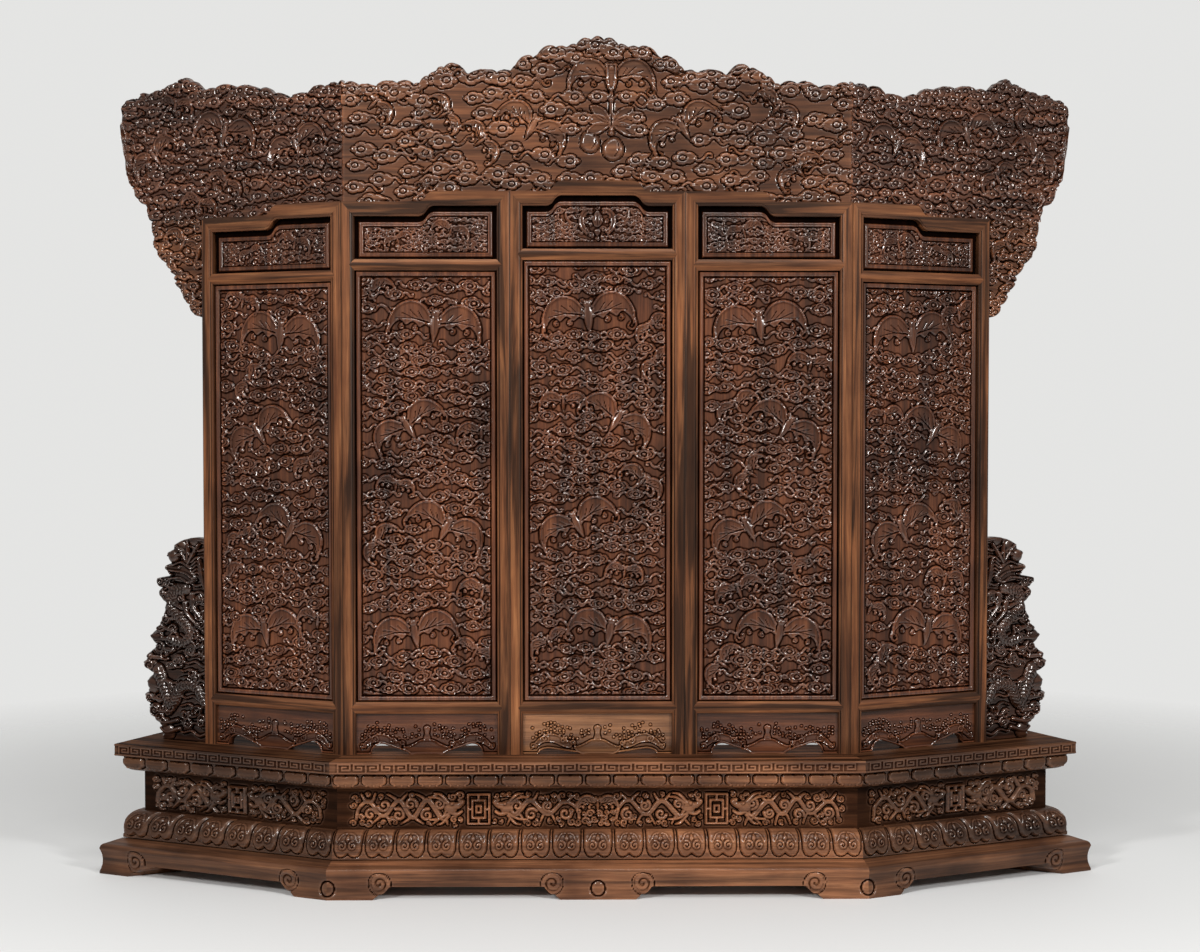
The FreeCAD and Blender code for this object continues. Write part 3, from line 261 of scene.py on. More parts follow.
def ribbon(relief, path, widths, rise, crease=0.0, scales=0.0):
    """A rounded strand along a path, its half width going from one value to another.

    A negative rise cuts a groove. A crease sinks the strand's middle. Scales give a ridged skin.
    """
    path = np.asarray(path, float)
    start_width, end_width = widths
    reach = max(widths)
    found = relief.window(path.min(axis=0) - reach, path.max(axis=0) + reach)
    if found is None:
        return
    part, x, z = found
    count = len(path) - 1
    nearest = np.full(part.shape, np.inf)
    place = np.zeros(part.shape)
    side = np.zeros(part.shape)
    for index in range(count):
        start, step = path[index], path[index + 1] - path[index]
        t, away_x, away_z = along_step(start, step, x, z)
        width = start_width + (end_width - start_width) * (index + t) / count
        distance = np.hypot(away_x, away_z) / width
        closer = distance < nearest
        nearest = np.where(closer, distance, nearest)
        place = np.where(closer, index + t, place)
        turn = np.sign(step[0] * away_z - step[1] * away_x)
        side = np.where(closer, turn * distance, side)
    body = np.sqrt(np.clip(1 - nearest ** 2, 0, 1))
    if crease:
        body = body * (1 - crease * np.exp(-(nearest / CREASE_WIDTH) ** 2))
    if scales:
        steps = np.concatenate([[0], np.cumsum(np.hypot(*np.diff(path, axis=0).T))])
        along = np.interp(place, np.arange(len(path)), steps) / scales
        row = np.floor(along + np.abs(side))
        across = np.abs(np.sin(math.pi * (2.0 * side + 0.5 * (row % 2))))
        edge = (1 - (along + np.abs(side)) % 1) * (0.5 + 0.5 * across)
        body = body * (1 - SCALE_DEPTH + SCALE_DEPTH * edge)
    if rise < 0:
        part += rise * body
    else:
        np.maximum(part, rise * body, out=part)


def outline_distance(path, x, z):
    """Distance inside a closed outline, negative outside it."""
    nearest = np.full(np.broadcast(x, z).shape, np.inf)
    inside = np.zeros(nearest.shape, bool)
    for start, end in zip(path, np.roll(path, -1, axis=0)):
        step = end - start
        _, away_x, away_z = along_step(start, step, x, z)
        nearest = np.minimum(nearest, np.hypot(away_x, away_z))
        if start[1] != end[1]:
            spans = (start[1] > z) != (end[1] > z)
            inside ^= spans & (x < start[0] + (z - start[1]) * step[0] / step[1])
    return np.where(inside, nearest, -nearest)


def plaque(relief, path, rise, bevel, rim=0.0, dome=0.0):
    """A raised shape with sloped sides, a rim along its edge where asked, and a domed middle."""
    found = relief.window(path.min(axis=0), path.max(axis=0))
    if found is None:
        return
    part, x, z = found
    depth = outline_distance(path, x, z)
    face = smooth_step(depth / bevel)
    if rim:
        face = face * (1 - rim * smooth_step((depth - bevel) / bevel))
    if dome:
        face = face * (1 + dome * (np.clip(depth / max(depth.max(), 1e-6), 0, 1) - 1))
    np.maximum(part, rise * face, out=part)


def knob(relief, x, z, radius, rise):
    """A round boss."""
    found = relief.around(x, z, radius)
    if found is None:
        return
    part, px, pz = found
    away = np.hypot(px - x, pz - z) / radius
    np.maximum(part, rise * np.sqrt(np.clip(1 - away ** 2, 0, 1)), out=part)


def curl_path(x, z, radius, turns, start, way, inner=0.18, steps=26):
    """A spiral that winds inwards round a place."""
    t = np.linspace(0, 1, steps)
    r = radius * (1 - (1 - inner) * t)
    angle = start + way * math.tau * turns * t
    return np.column_stack([x + r * np.cos(angle), z + r * np.sin(angle)])


def strand(relief, points, steps, widths, rise, crease=0.0, scales=0.0):
    """A ribbon along a smooth curve through a few points."""
    ribbon(relief, smooth_path(points, steps), widths, rise, crease, scales)


def raised_shape(relief, points, steps, rise, bevel, rim=0.0, dome=0.0):
    """A plaque inside a smooth closed curve through a few points."""
    plaque(relief, smooth_path(points, steps, closed=True), rise, bevel, rim, dome)


def curl(relief, x, z, radius, turns, start, way, widths, rise):
    """A rolled-up ribbon."""
    ribbon(relief, curl_path(x, z, radius, turns, start, way), widths, rise)


# Two ways to cut a cloud head, all as shares: depths from its edge, the levels there, its boss,
# its lobes on a half turn, how deep the cuts between them are, and the tips of its two ends
RINGED = (
    (0.0, 0.08, 0.17, 0.29, 0.42, 0.55, 1.0), (0.0, 0.90, 1.0, 0.30, 0.84, 0.45, 0.42),
    0.27, 3.0, 0.0, (0.22, 0.22),
)
PLATED = ((0.0, 0.10, 0.26, 1.0), (0.0, 0.84, 1.0, 0.86), 0.31, 2.5, 0.34, (0.30, 0.0))
# Shares of a cloud head that both ways have in common
CLOUD_REACH, CLOUD_FLATNESS = 1.3, 0.62
LOBE_FOOT, LOBE_REACH, LOBE_TURN = 0.74, 0.25, 9.0
TIP_WIDTH, CUT_WIDTH, CUT_LENGTH = 0.22, 0.20, 0.6
BOSS_SHIFT, BOSS_STRETCH = 0.12, 0.8
MOAT_DEPTH, MOAT_PLACE, MOAT_WIDTH = 0.46, 1.20, 0.25
COIL_DEPTH, COIL_START, COIL_PITCH, COIL_WIDTH = 0.30, 0.45, 0.10, 0.16
CLOUD_FLOOR, CLOUD_RIM = 0.12, 0.05


def cloud(relief, x, z, half_width, half_height, turn, rise, style):
    """A cloud head: a lobed plate drawn to points at its ends, with a coiled boss off its middle."""
    found = relief.around(x, z, CLOUD_REACH * half_width)
    if found is None:
        return
    part, px, pz = found
    depths, levels, boss_size, lobes, cuts, tips = style
    way = math.copysign(1.0, turn)
    cos, sin = math.cos(turn), math.sin(turn)
    u = way * ((px - x) * cos + (pz - z) * sin) / half_width
    v = ((pz - z) * cos - (px - x) * sin) / half_height
    angle = np.arctan2(v, u)
    wave = np.sin(lobes * angle + LOBE_TURN * cuts * turn)
    tip = np.exp(-(np.sin(angle) / TIP_WIDTH) ** 2) * np.where(u > 0, *tips)
    edge = LOBE_FOOT + LOBE_REACH * np.sqrt(np.abs(wave)) + tip
    depth = 1 - np.hypot(u, v) / edge
    level = np.interp(depth, depths, levels)
    cut = cuts * np.exp(-(wave / CUT_WIDTH) ** 2)
    level = level - cut * np.clip(1 - depth / CUT_LENGTH, 0, 1) * (depth > 0)
    size = boss_size * half_height
    across, up = (px - x + way * BOSS_SHIFT * half_width) / size, (pz - z) / size
    boss = np.hypot(BOSS_STRETCH * across, up)
    moat = MOAT_DEPTH * np.exp(-((boss - MOAT_PLACE) / MOAT_WIDTH) ** 2) * (depth > 0)
    winding = COIL_PITCH * np.arctan2(up, across)
    coil = COIL_DEPTH * np.exp(-((boss - COIL_START - winding) / COIL_WIDTH) ** 2)
    boss_level = np.sqrt(np.clip(1 - boss ** 2, 0, 1)) - coil
    level = np.maximum(np.maximum(level - moat, CLOUD_FLOOR * (depth > 0)), boss_level)
    np.copyto(part, np.maximum(rise * level, np.where(depth > CLOUD_RIM, 0.0, part)))


CLOUD_TAIL = ((0.0, 0.0), (0.22, -0.16), (0.50, -0.04), (0.74, 0.24), (0.98, 0.22), (1.0, 0.02), (0.86, 0.04))


def cloud_tail(relief, x, z, length, way, rise, swing):
    """A strand that swings away from a cloud and ends in a hook."""
    path = [(x + way * length * px, z + swing * length * pz) for px, pz in CLOUD_TAIL]
    strand(relief, path, 5, (0.0052, 0.0026), rise)


# A bat's right wing, its body and head, for a half span of 1
BAT_WING = (
    (0.07, -0.02), (0.11, 0.24), (0.30, 0.45), (0.58, 0.51), (0.85, 0.36), (1.00, 0.05), (0.97, -0.20),
    (0.89, -0.04), (0.75, 0.07), (0.62, -0.02), (0.47, 0.07), (0.33, -0.04), (0.20, 0.03),
)
BAT_LEAD = slice(1, 7)
BAT_CURLS = ((0.70, -0.06), (0.40, -0.07))
BAT_RIBS = ((0.86, 0.10), (0.74, 0.24), (0.56, 0.32), (0.38, 0.30))
BAT_HOOK = ((0.99, -0.05), (1.02, -0.24), (0.93, -0.34), (0.84, -0.27), (0.89, -0.19))
BAT_BODY = both_sides(((0.0, 0.36), (0.10, 0.26), (0.12, 0.04), (0.08, -0.18), (0.0, -0.36)))
BAT_EAR = (0.09, 0.38)
BAT_HEAD = (0.0, 0.30)
# Discs that a bat fills: across, up and radius
BAT_DISCS = (
    (0.0, 0.0, 0.30), (0.42, 0.22, 0.34), (-0.42, 0.22, 0.34), (0.86, 0.10, 0.30), (-0.86, 0.10, 0.30),
)


def bat(relief, x, z, half_span, turn, rise):
    """A bat with half-moon wings: a rimmed leading edge, a hooked tip, curls behind and cut ribs."""
    def at(points, flip=1.0):
        return placed(points, x, z, half_span, turn, flip)

    for flip in (1.0, -1.0):
        raised_shape(relief, at(BAT_WING, flip), 4, 0.88 * rise, 0.0040, rim=0.12, dome=0.18)
        strand(relief, at(BAT_WING[BAT_LEAD], flip), 5, (0.0044, 0.0036), rise)
        strand(relief, at(BAT_HOOK, flip), 5, (0.0044, 0.0028), 0.95 * rise)
        for cx, cz in at(BAT_CURLS, flip):
            curl(relief, cx, cz, 0.062 * half_span, 1.2, 1.6, -flip, (0.0034, 0.0024), 0.92 * rise)
        for point in BAT_RIBS:
            rib = ((0.14, 0.08), (0.5 * point[0] + 0.06, 0.14), point)
            strand(relief, at(rib, flip), 5, (0.0022, 0.0016), -0.26 * rise)
        (ear_x, ear_z), = at((BAT_EAR,), flip)
        curl(relief, ear_x, ear_z, 0.052 * half_span, 1.0, 4.2, flip, (0.0036, 0.0026), rise)
    raised_shape(relief, at(BAT_BODY), 4, 1.05 * rise, 0.007, dome=0.3)
    knob(relief, *at((BAT_HEAD,))[0], 0.105 * half_span, 1.2 * rise)


def bat_room(x, z, half_span, turn):
    """The discs that one bat fills, for clouds to keep clear of."""
    discs = []
    for across, up, radius in BAT_DISCS:
        (px, pz), = placed(((across, up),), x, z, half_span, turn)
        discs.append((px, pz, radius * half_span))
    return discs


# Shares of a cloud head's half width: room for other heads and beside bigger motifs, across and up
HEAD_ROOM = (1.85, 1.16)
MOTIF_ROOM = (0.75, 0.42)
TAIL_LENGTHS = (0.9, 1.7)
TAIL_START = 0.85
# A tail's share of the rise, and how far heads lean, in radians
TAIL_RISE = 0.66
CLOUD_LEAN = 0.16


def overlaps(px, pz, tx, tz, across, up):
    return math.hypot((px - tx) / across, (pz - tz) / up) < 1


def scatter_clouds(relief, rng, x, z, taken, rise, sizes=(0.029, 0.038), tries=5000, style=RINGED):
    """Fill a face with cloud heads and their tails, clear of the discs of bigger motifs."""
    heads = []
    for _ in range(tries):
        px, pz = rng.uniform(*x), rng.uniform(*z)
        half = rng.uniform(*sizes)
        turn = rng.normal(0, CLOUD_LEAN)
        lengths = rng.uniform(*TAIL_LENGTHS, 2) * half
        swings = rng.choice((-1.0, 1.0), 2)
        beside, over = MOTIF_ROOM[0] * half, MOTIF_ROOM[1] * half
        if any(overlaps(px, pz, tx, tz, radius + beside, radius + over) for tx, tz, radius in taken):
            continue
        beside, over = HEAD_ROOM[0] * half, HEAD_ROOM[1] * half
        if any(overlaps(px, pz, head[0], head[1], beside, over) for head in heads):
            continue
        heads.append((px, pz, half, half * CLOUD_FLATNESS, turn, rise))
        for way, length, swing in zip((-1, 1), lengths, swings):
            if style is RINGED or way * turn > 0:
                cloud_tail(relief, px + way * half * TAIL_START, pz, length, way, TAIL_RISE * rise, swing)
    for head in heads:
        cloud(relief, *head, style)


# A patch counts as bare while no more than this share of it stands over this share of the rise
BARE_SHARE, BARE_RISE = 0.16, 0.25


def fill_curls(relief, rng, x, z, rise, sizes, tries):
    """Small curls wherever a patch of the ground is still bare."""
    for _ in range(tries):
        radius = rng.uniform(*sizes)
        px, pz = rng.uniform(*x), rng.uniform(z[0] + radius, z[1] - radius)
        found = relief.around(px, pz, radius)
        if found is None or (found[0] > BARE_RISE * rise).mean() > BARE_SHARE:
            continue
        way, start = rng.choice((-1.0, 1.0)), rng.uniform(0, math.tau)
        curl(relief, px, pz, radius, 1.3, start, way, (0.36 * radius, 0.24 * radius), rise)


# Closed carved pieces

SHARP_EDGE = math.radians(60)


def closed_sheet(columns, rows):
    """A grid whose rim is drawn back and closed, with the count of the grid's own vertices."""
    sheet = bmesh.new()
    bmesh.ops.create_grid(sheet, x_segments=columns, y_segments=rows, size=0.5)
    front_count = len(sheet.verts)
    rim = [edge for edge in sheet.edges if edge.is_boundary]
    drawn = bmesh.ops.extrude_edge_only(sheet, edges=rim)["geom"]
    back_rim = [part for part in drawn if isinstance(part, bmesh.types.BMEdge) and part.is_boundary]
    bmesh.ops.contextual_create(sheet, geom=back_rim)
    mesh = bpy.data.meshes.new("carving")
    sheet.to_mesh(mesh)
    sheet.free()
    return mesh, front_count


def face_outwards(mesh, points):
    """Turn a closed mesh's faces round where they point inwards."""
    mesh.calc_loop_triangles()
    corners = np.empty(len(mesh.loop_triangles) * 3, np.int32)
    mesh.loop_triangles.foreach_get("vertices", corners)
    a, b, c = points[corners].reshape(-1, 3, 3).transpose(1, 0, 2)
    if np.einsum("ij,ij->i", a, np.cross(b, c)).sum() < 0:
        mesh.flip_normals()


def carved_piece(name, grid, surface, section, body, material, nodes=()):
    """A closed piece whose front follows surface(u, v, back), which gives local points and cavities."""
    mesh, front_count = closed_sheet(*grid)
    flat = np.empty(len(mesh.vertices) * 3)
    mesh.vertices.foreach_get("co", flat)
    flat = flat.reshape(-1, 3) + 0.5
    front, cavity = surface(flat[:front_count, 0], flat[:front_count, 1], False)
    back, _ = surface(flat[front_count:, 0], flat[front_count:, 1], True)
    local = np.vstack([front, back])
    matrix = np.array(SECTIONS[section])
    points = local @ matrix[:3, :3].T + matrix[:3, 3]
    mesh.vertices.foreach_set("co", points.ravel())
    face_outwards(mesh, points - points.mean(axis=0))
    shade = mesh.attributes.new("cavity", "FLOAT", "POINT")
    shade.data.foreach_set("value", np.concatenate([cavity, np.zeros(len(back))]))
    mesh.shade_smooth()
    mesh.set_sharp_from_angle(angle=SHARP_EDGE)
    mesh.update()
    mesh.name = name
    piece = bpy.data.objects.new(name, mesh)
    bpy.context.scene.collection.objects.link(piece)
    mesh.materials.append(material)
    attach(piece, body)
    if nodes:
        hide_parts(*nodes)


# Width and height of a carved face's cells: main panels and wing crests, small panels, brackets, middle crest
FINE_CELL = (0.0035, 0.0028)
CLOSE_CELL = (0.0025, 0.0021)
BRACKET_CELL = (0.0024, 0.0024)
LONG_CREST_CELL = (0.0039, 0.0028)


def grid_for(width, height, cell=FINE_CELL):
    return max(2, round(width / cell[0])), max(2, round(height / cell[1]))


# Finishes

def link(tree, source, target):
    tree.links.new(source, target)


def ramp(tree, factor, stops):
    """A colour ramp of (position, colour) stops."""
    node = tree.nodes.new("ShaderNodeValToRGB")
    elements = node.color_ramp.elements
    while len(elements) < len(stops):
        elements.new(0.5)
    for element, (position, colour) in zip(elements, stops):
        element.position = position
        element.color = (*colour, 1.0)
    link(tree, factor, node.inputs["Fac"])
    return node.outputs["Color"]


def noise(tree, vector, scale, detail, roughness=0.6, distortion=0.0):
    node = tree.nodes.new("ShaderNodeTexNoise")
    node.inputs["Scale"].default_value = scale
    node.inputs["Detail"].default_value = detail
    node.inputs["Roughness"].default_value = roughness
    node.inputs["Distortion"].default_value = distortion
    link(tree, vector, node.inputs["Vector"])
    return node.outputs["Fac"]


def multiplied(tree, first, second, share=1.0):
    """A colour multiplied by a share of another."""
    node = tree.nodes.new("ShaderNodeMix")
    node.data_type = "RGBA"
    node.blend_type = "MULTIPLY"
    node.inputs[0].default_value = share
    link(tree, first, node.inputs[6])
    link(tree, second, node.inputs[7])
    return node.outputs[2]


def to_range(tree, value, low, high, source=(0.0, 1.0)):
    node = tree.nodes.new("ShaderNodeMapRange")
    node.inputs["From Min"].default_value, node.inputs["From Max"].default_value = source
    node.inputs["To Min"].default_value, node.inputs["To Max"].default_value = low, high
    link(tree, value, node.inputs["Value"])
    return node.outputs["Result"]


GRAINS = {"upright": (0.011, 0.011, 0.30), "level": (0.30, 0.011, 0.011)}
# Light on a stile, from its inner edge to its outer one
STILE_LIGHT = (
    (0.0, 0.40), (0.07, 0.80), (0.13, 0.80), (0.19, 0.14),
    (0.28, 0.95), (0.60, 1.0), (0.94, 0.90), (1.0, 0.20),
)
# Colours that the wood is multiplied by: smoky streaks, broad patches, and painted highlight on ridges down
# to painted shade in grooves
SOOT = (0.12, 0.09, 0.08)
SMOKE = ((0.50, (0.84, 0.80, 0.78)), (0.63, (1.36, 1.31, 1.25)))
PATCHES = ((0.50, (0.96, 0.94, 0.92)), (0.68, (1.32, 1.28, 1.22)))
RIDGE_LIGHT_GROOVE_SHADE = (
    (0.05, (1.75, 1.66, 1.58)), (0.36, (1.16, 1.13, 1.10)), (0.51, (0.94, 0.91, 0.89)),
    (0.60, (0.30, 0.26, 0.24)), (0.76, (0.04, 0.03, 0.03)),
)
# Tint of the wax's sheen
WARM_SHEEN = (1.0, 0.80, 0.66, 1.0)


def stile_shading(tree, tone, section, edges):
    """Paint shade across a leaf's stiles, in the grooves by their beads and at their edges, going by the
    distance from the leaf's middle.
    """
    middle, inner, outer = edges
    local = tree.nodes.new("ShaderNodeMapping")
    local.vector_type = "TEXTURE"
    local.inputs["Location"].default_value = SECTIONS[section] @ Vector((middle, 0.0, 0.0))
    local.inputs["Rotation"].default_value = (0.0, 0.0, TURNS[section])
    link(tree, tree.nodes.new("ShaderNodeTexCoord").outputs["Object"], local.inputs["Vector"])
    parts = tree.nodes.new("ShaderNodeSeparateXYZ")
    link(tree, local.outputs["Vector"], parts.inputs["Vector"])
    away = tree.nodes.new("ShaderNodeMath")
    away.operation = "ABSOLUTE"
    link(tree, parts.outputs["X"], away.inputs[0])
    share = to_range(tree, away.outputs["Value"], 0.0, 1.0, (inner, outer))
    painted_shade = ramp(tree, share, [(place, (level, level, level)) for place, level in STILE_LIGHT])
    return multiplied(tree, tone, painted_shade)


def hardwood(name, section, tones, grain, carved, roughness, edges):
    """Waxed hardwood: fibres and smoky streaks along its member, broad patches, painted shade in grooves and
    painted highlights on ridges where carved.
    """
    material = bpy.data.materials.new(name)
    material.use_nodes = True
    tree = material.node_tree
    shader = tree.nodes["Principled BSDF"]
    dark, middle, light = tones
    place = tree.nodes.new("ShaderNodeTexCoord").outputs["Object"]
    along = tree.nodes.new("ShaderNodeMapping")
    along.vector_type = "TEXTURE"
    along.inputs["Rotation"].default_value = (0.0, 0.0, TURNS[section])
    along.inputs["Scale"].default_value = GRAINS[grain]
    link(tree, place, along.inputs["Vector"])
    fibre = noise(tree, along.outputs["Vector"], 1.0, 7.0, 0.68, 0.5)
    streak = noise(tree, along.outputs["Vector"], 0.34, 4.0, 0.55, 0.8)
    patch = noise(tree, place, 3.2, 3.0)
    tone = ramp(tree, fibre, ((0.30, dark), (0.52, middle), (0.72, light)))
    smoke = ramp(tree, streak, ((0.38 if carved else 0.41, SOOT), *SMOKE))
    gloom = (0.48, 0.43, 0.41) if carved else (0.66, 0.60, 0.58)
    shade = ramp(tree, patch, ((0.32, gloom), *PATCHES))
    tone = multiplied(tree, tone, smoke, 0.55 if carved else 0.9)
    tone = multiplied(tree, tone, shade)
    rough = to_range(tree, fibre, roughness - 0.06, roughness + 0.10)
    if carved:
        depth = tree.nodes.new("ShaderNodeAttribute")
        depth.attribute_name = "cavity"
        level = to_range(tree, depth.outputs["Fac"], 0.0, 1.0, (-1.0, 1.0))
        # Painted shade darkens the grooves and a painted highlight lightens the ridges, going by the cavity
        tone = multiplied(tree, tone, ramp(tree, level, RIDGE_LIGHT_GROOVE_SHADE))
        rough = to_range(tree, level, roughness - 0.10, roughness + 0.38, (0.20, 0.90))
        link(tree, to_range(tree, level, 0.36, 0.02, (0.46, 0.62)), shader.inputs["Specular IOR Level"])
        coat = 0.70 if roughness < 0.4 else 0.25
        link(tree, to_range(tree, level, coat, 0.0, (0.42, 0.60)), shader.inputs["Coat Weight"])
        shader.inputs["Coat IOR"].default_value = 1.75
    else:
        shader.inputs["Specular IOR Level"].default_value = 0.34 if roughness < 0.5 else 0.02
        shader.inputs["Coat Weight"].default_value = 0.04 if roughness < 0.5 else 0.0
    # Painted shade along the stiles' bead grooves and edges
    if edges:
        tone = stile_shading(tree, tone, section, edges)
    bump = tree.nodes.new("ShaderNodeBump")
    bump.inputs["Strength"].default_value = 0.25
    bump.inputs["Distance"].default_value = 0.0006
    link(tree, fibre, bump.inputs["Height"])
    link(tree, bump.outputs["Normal"], shader.inputs["Normal"])
    link(tree, tone, shader.inputs["Base Color"])
    link(tree, rough, shader.inputs["Roughness"])
    shader.inputs["Specular Tint"].default_value = WARM_SHEEN
    shader.inputs["Coat Roughness"].default_value = 0.17 if carved else 0.30
    return material


FRAME_TONES = ((0.060, 0.020, 0.009), (0.158, 0.060, 0.024), (0.262, 0.116, 0.048))
CARVED_TONES = ((0.042, 0.013, 0.007), (0.100, 0.034, 0.015), (0.174, 0.067, 0.030))
CREST_TONES = ((0.058, 0.021, 0.010), (0.136, 0.053, 0.024), (0.212, 0.093, 0.043))
DARK_TONES = ((0.034, 0.013, 0.008), (0.080, 0.031, 0.017), (0.140, 0.060, 0.031))
SHADE_TONES = ((0.014, 0.006, 0.004), (0.036, 0.014, 0.008), (0.070, 0.030, 0.016))
BASE_TONES = ((0.060, 0.024, 0.012), (0.140, 0.060, 0.029), (0.215, 0.102, 0.050))
APRON_TONES = ((0.130, 0.056, 0.026), (0.260, 0.124, 0.058), (0.340, 0.180, 0.088))
# Roughness of carved panels and crest, of brackets, of frames and base carving, and of plain base wood
PANEL_ROUGH, BRACKET_ROUGH, FRAME_ROUGH, BASE_ROUGH = 0.34, 0.28, 0.42, 0.62

finishes = {}


def finish(kind, section, tones, grain, carved=False, roughness=PANEL_ROUGH, edges=None):
    """One hardwood finish for each kind of member and section, made once."""
    key = f"{kind}_{section}"
    if key not in finishes:
        finishes[key] = hardwood(key, section, tones, grain, carved, roughness, edges)
    return finishes[key]


def toned(tones, level):
    return tuple(tuple(level * part for part in tone) for tone in tones)


# Panels

# Share of a rise over which carving is undercut
CUT_ABOVE = 0.12
CARVING_RISE = 0.0095
UPPER_RISE = 0.0072
APRON_RISE = 0.0055
PANEL_BACK = 0.040
# How dark the painted shadow in a panel's gutter is, as a cavity
GUTTER_SHADOW = 0.95
# Depth of each panel's ground behind the leaf's front
MAIN_GROUND, UPPER_GROUND, APRON_GROUND = 0.0205, 0.026, 0.0150
# A border's inner edge from the panel's own, at its sides, foot and top, and its width, rise and fillet
MAIN_INSET = 0.019
MAIN_BORDER = (0.0165, 0.0095, 0.0)
UPPER_INSETS = (0.026, 0.020, 0.030)
UPPER_BORDER = (0.013, 0.008, 0.0016)
BORDER_SLOPE, GUTTER_SLOPE, FILLET_WIDTH = 0.003, 0.0025, 0.0028


def map_places(relief):
    rows, columns = relief.height.shape
    x = relief.low[0] + relief.cell * np.arange(columns)
    z = relief.low[1] + relief.cell * np.arange(rows)
    return x[None, :], z[:, None]


def bordered(relief, inset, width, rise, fillet):
    """Lift a plain border round the field, with a fillet on its inner edge where asked.

    inset is how far each cell lies inside the border's inner edge. Outside the border is a gutter.
    """
    plain = smooth_step(-inset / BORDER_SLOPE) * smooth_step((inset + width) / BORDER_SLOPE)
    field = relief.height * smooth_step((inset - BORDER_SLOPE) / BORDER_SLOPE)
    relief.height = np.maximum(field, rise * plain)
    relief.gutter = smooth_step(-(inset + width) / GUTTER_SLOPE)
    if fillet:
        line = np.sqrt(np.clip(1 - (inset / FILLET_WIDTH) ** 2, 0, 1))
        relief.height = np.maximum(relief.height, (rise + fillet) * line)


def panel_surface(relief, x, low, high, ground):
    """A surface function for a leaf's panel between two outlines over x."""
    cavities = relief.cavity()
    # The gutter round the border gets painted shadow, as dark as a deep groove
    cavities = cavities + relief.gutter * (GUTTER_SHADOW - cavities)
    places = np.linspace(x[0], x[1], len(low))

    def surface(u, v, back):
        px = x[0] + u * (x[1] - x[0])
        bottom, top = np.interp(px, places, low), np.interp(px, places, high)
        pz = bottom + v * (top - bottom)
        depth = np.full(len(u), PANEL_BACK) if back else ground - relief.at(px, pz)
        return np.column_stack([px, depth, pz]), relief.at(px, pz, cavities)

    return surface


def leaf_panel(number, part):
    """A panel's section and node, and its x and z between the tongues."""
    section, node = LEAF_SECTIONS[number], f"leaf_{number}_{part}"
    low, high = local_box(node, section)
    return section, node, (low[0] + TONGUE, high[0] - TONGUE), (low[2] + TONGUE, high[2] - TONGUE)


def leaf_carving(number, node, grid, surface, material):
    """A carved piece that stands for one panel of a leaf."""
    section, body = LEAF_SECTIONS[number], f"leaf_{number}"
    carved_piece(f"carving_{node}", grid, surface, section, body, material, (node,))


# Small bats' shares of their half span: room to an edge, and to each other
BAT_MARGIN, BAT_SPACING = 0.6, 0.86
BAT_TRIES = 6000


def spread_bats(rng, x, edges, count, spans, standing):
    """Places, half spans and turns of more bats between edges(x), clear of each other and of the first."""
    bats = []
    for _ in range(BAT_TRIES):
        half = rng.uniform(*spans)
        px = rng.uniform(x[0] + BAT_MARGIN * half, x[1] - BAT_MARGIN * half)
        bottom, top = edges(px)
        pz = bottom + (top - bottom) * rng.uniform(0, 1)
        turn = rng.uniform(-1.2, 1.2)
        if min(pz - bottom, top - pz) < BAT_MARGIN * half:
            continue
        others = bats + list(standing)
        if all(math.hypot(px - bx, pz - bz) > BAT_SPACING * (half + bh) for bx, bz, bh, _ in others):
            bats.append((px, pz, half, turn))
        if len(bats) == count:
            break
    return bats


def draw_bats(relief, bats, rise):
    """Carve bats, and give the discs that they fill."""
    taken = []
    for place in bats:
        bat(relief, *place, rise)
        taken += bat_room(*place)
    return taken


# Big bats of a main panel, as raised in the solids: (across from the middle, up, size, turn in degrees)
BAT_REACH = 0.130
MAIN_BATS = (
    (-0.06, 0.870, 1.15, 6),
    (0.12, 0.635, 0.95, -32),
    (-0.13, 0.400, 1.00, 26),
    (0.08, 0.155, 1.05, -10),
)
# How many small bats there are, and their half spans
SMALL_BATS, SMALL_SPANS = 6, (0.060, 0.085)


def main_panel(number):
    """The tall panel of a leaf: bats among clouds inside a plain border."""
    section, node, x, z = leaf_panel(number, "main_panel")
    rng = np.random.default_rng(20 + number)
    relief = Relief(x, z)
    mirror = -1 if number < 3 else 1
    bats = []
    for across, up, size, turn in MAIN_BATS:
        px = 0.5 * (x[0] + x[1]) + mirror * across * (x[1] - x[0])
        pz = z[0] + up * (z[1] - z[0])
        bats.append((px, pz, BAT_REACH * size, mirror * math.radians(turn)))
    bats += spread_bats(rng, x, lambda _: z, SMALL_BATS, SMALL_SPANS, bats)
    taken = draw_bats(relief, bats, 1.1 * CARVING_RISE)
    scatter_clouds(relief, rng, x, z, taken, CARVING_RISE)
    relief.undercut(CUT_ABOVE * CARVING_RISE)
    px, pz = map_places(relief)
    inset = np.minimum(np.minimum(px - x[0], x[1] - px), np.minimum(pz - z[0], z[1] - pz)) - MAIN_INSET
    bordered(relief, inset, *MAIN_BORDER)
    surface = panel_surface(relief, x, [z[0]] * 2, [z[1]] * 2, MAIN_GROUND)
    grid = grid_for(x[1] - x[0], z[1] - z[0])
    material = finish("carved_panel", section, CARVED_TONES, "upright", True)
    leaf_carving(number, node, grid, surface, material)


VINE_CURLS = ((0.16, 1), (0.36, -1), (0.52, 1), (0.70, -1), (0.88, 1))


def vine(relief, x, z, length, way, rise):
    """A running stem with curls above and below it."""
    t = np.linspace(0, 1, 22)
    stem = np.column_stack([x + way * length * t, z + 0.010 * np.sin(math.tau * 1.5 * t)])
    ribbon(relief, stem, (0.0030, 0.0016), 0.7 * rise)
    for step, side in VINE_CURLS:
        px, pz = x + way * length * step, z + side * 0.017
        curl(relief, px, pz, 0.013, 1.4, -side * 1.6, way * side, (0.0030, 0.0016), 0.85 * rise)
        knob(relief, px, pz, 0.0038, rise)


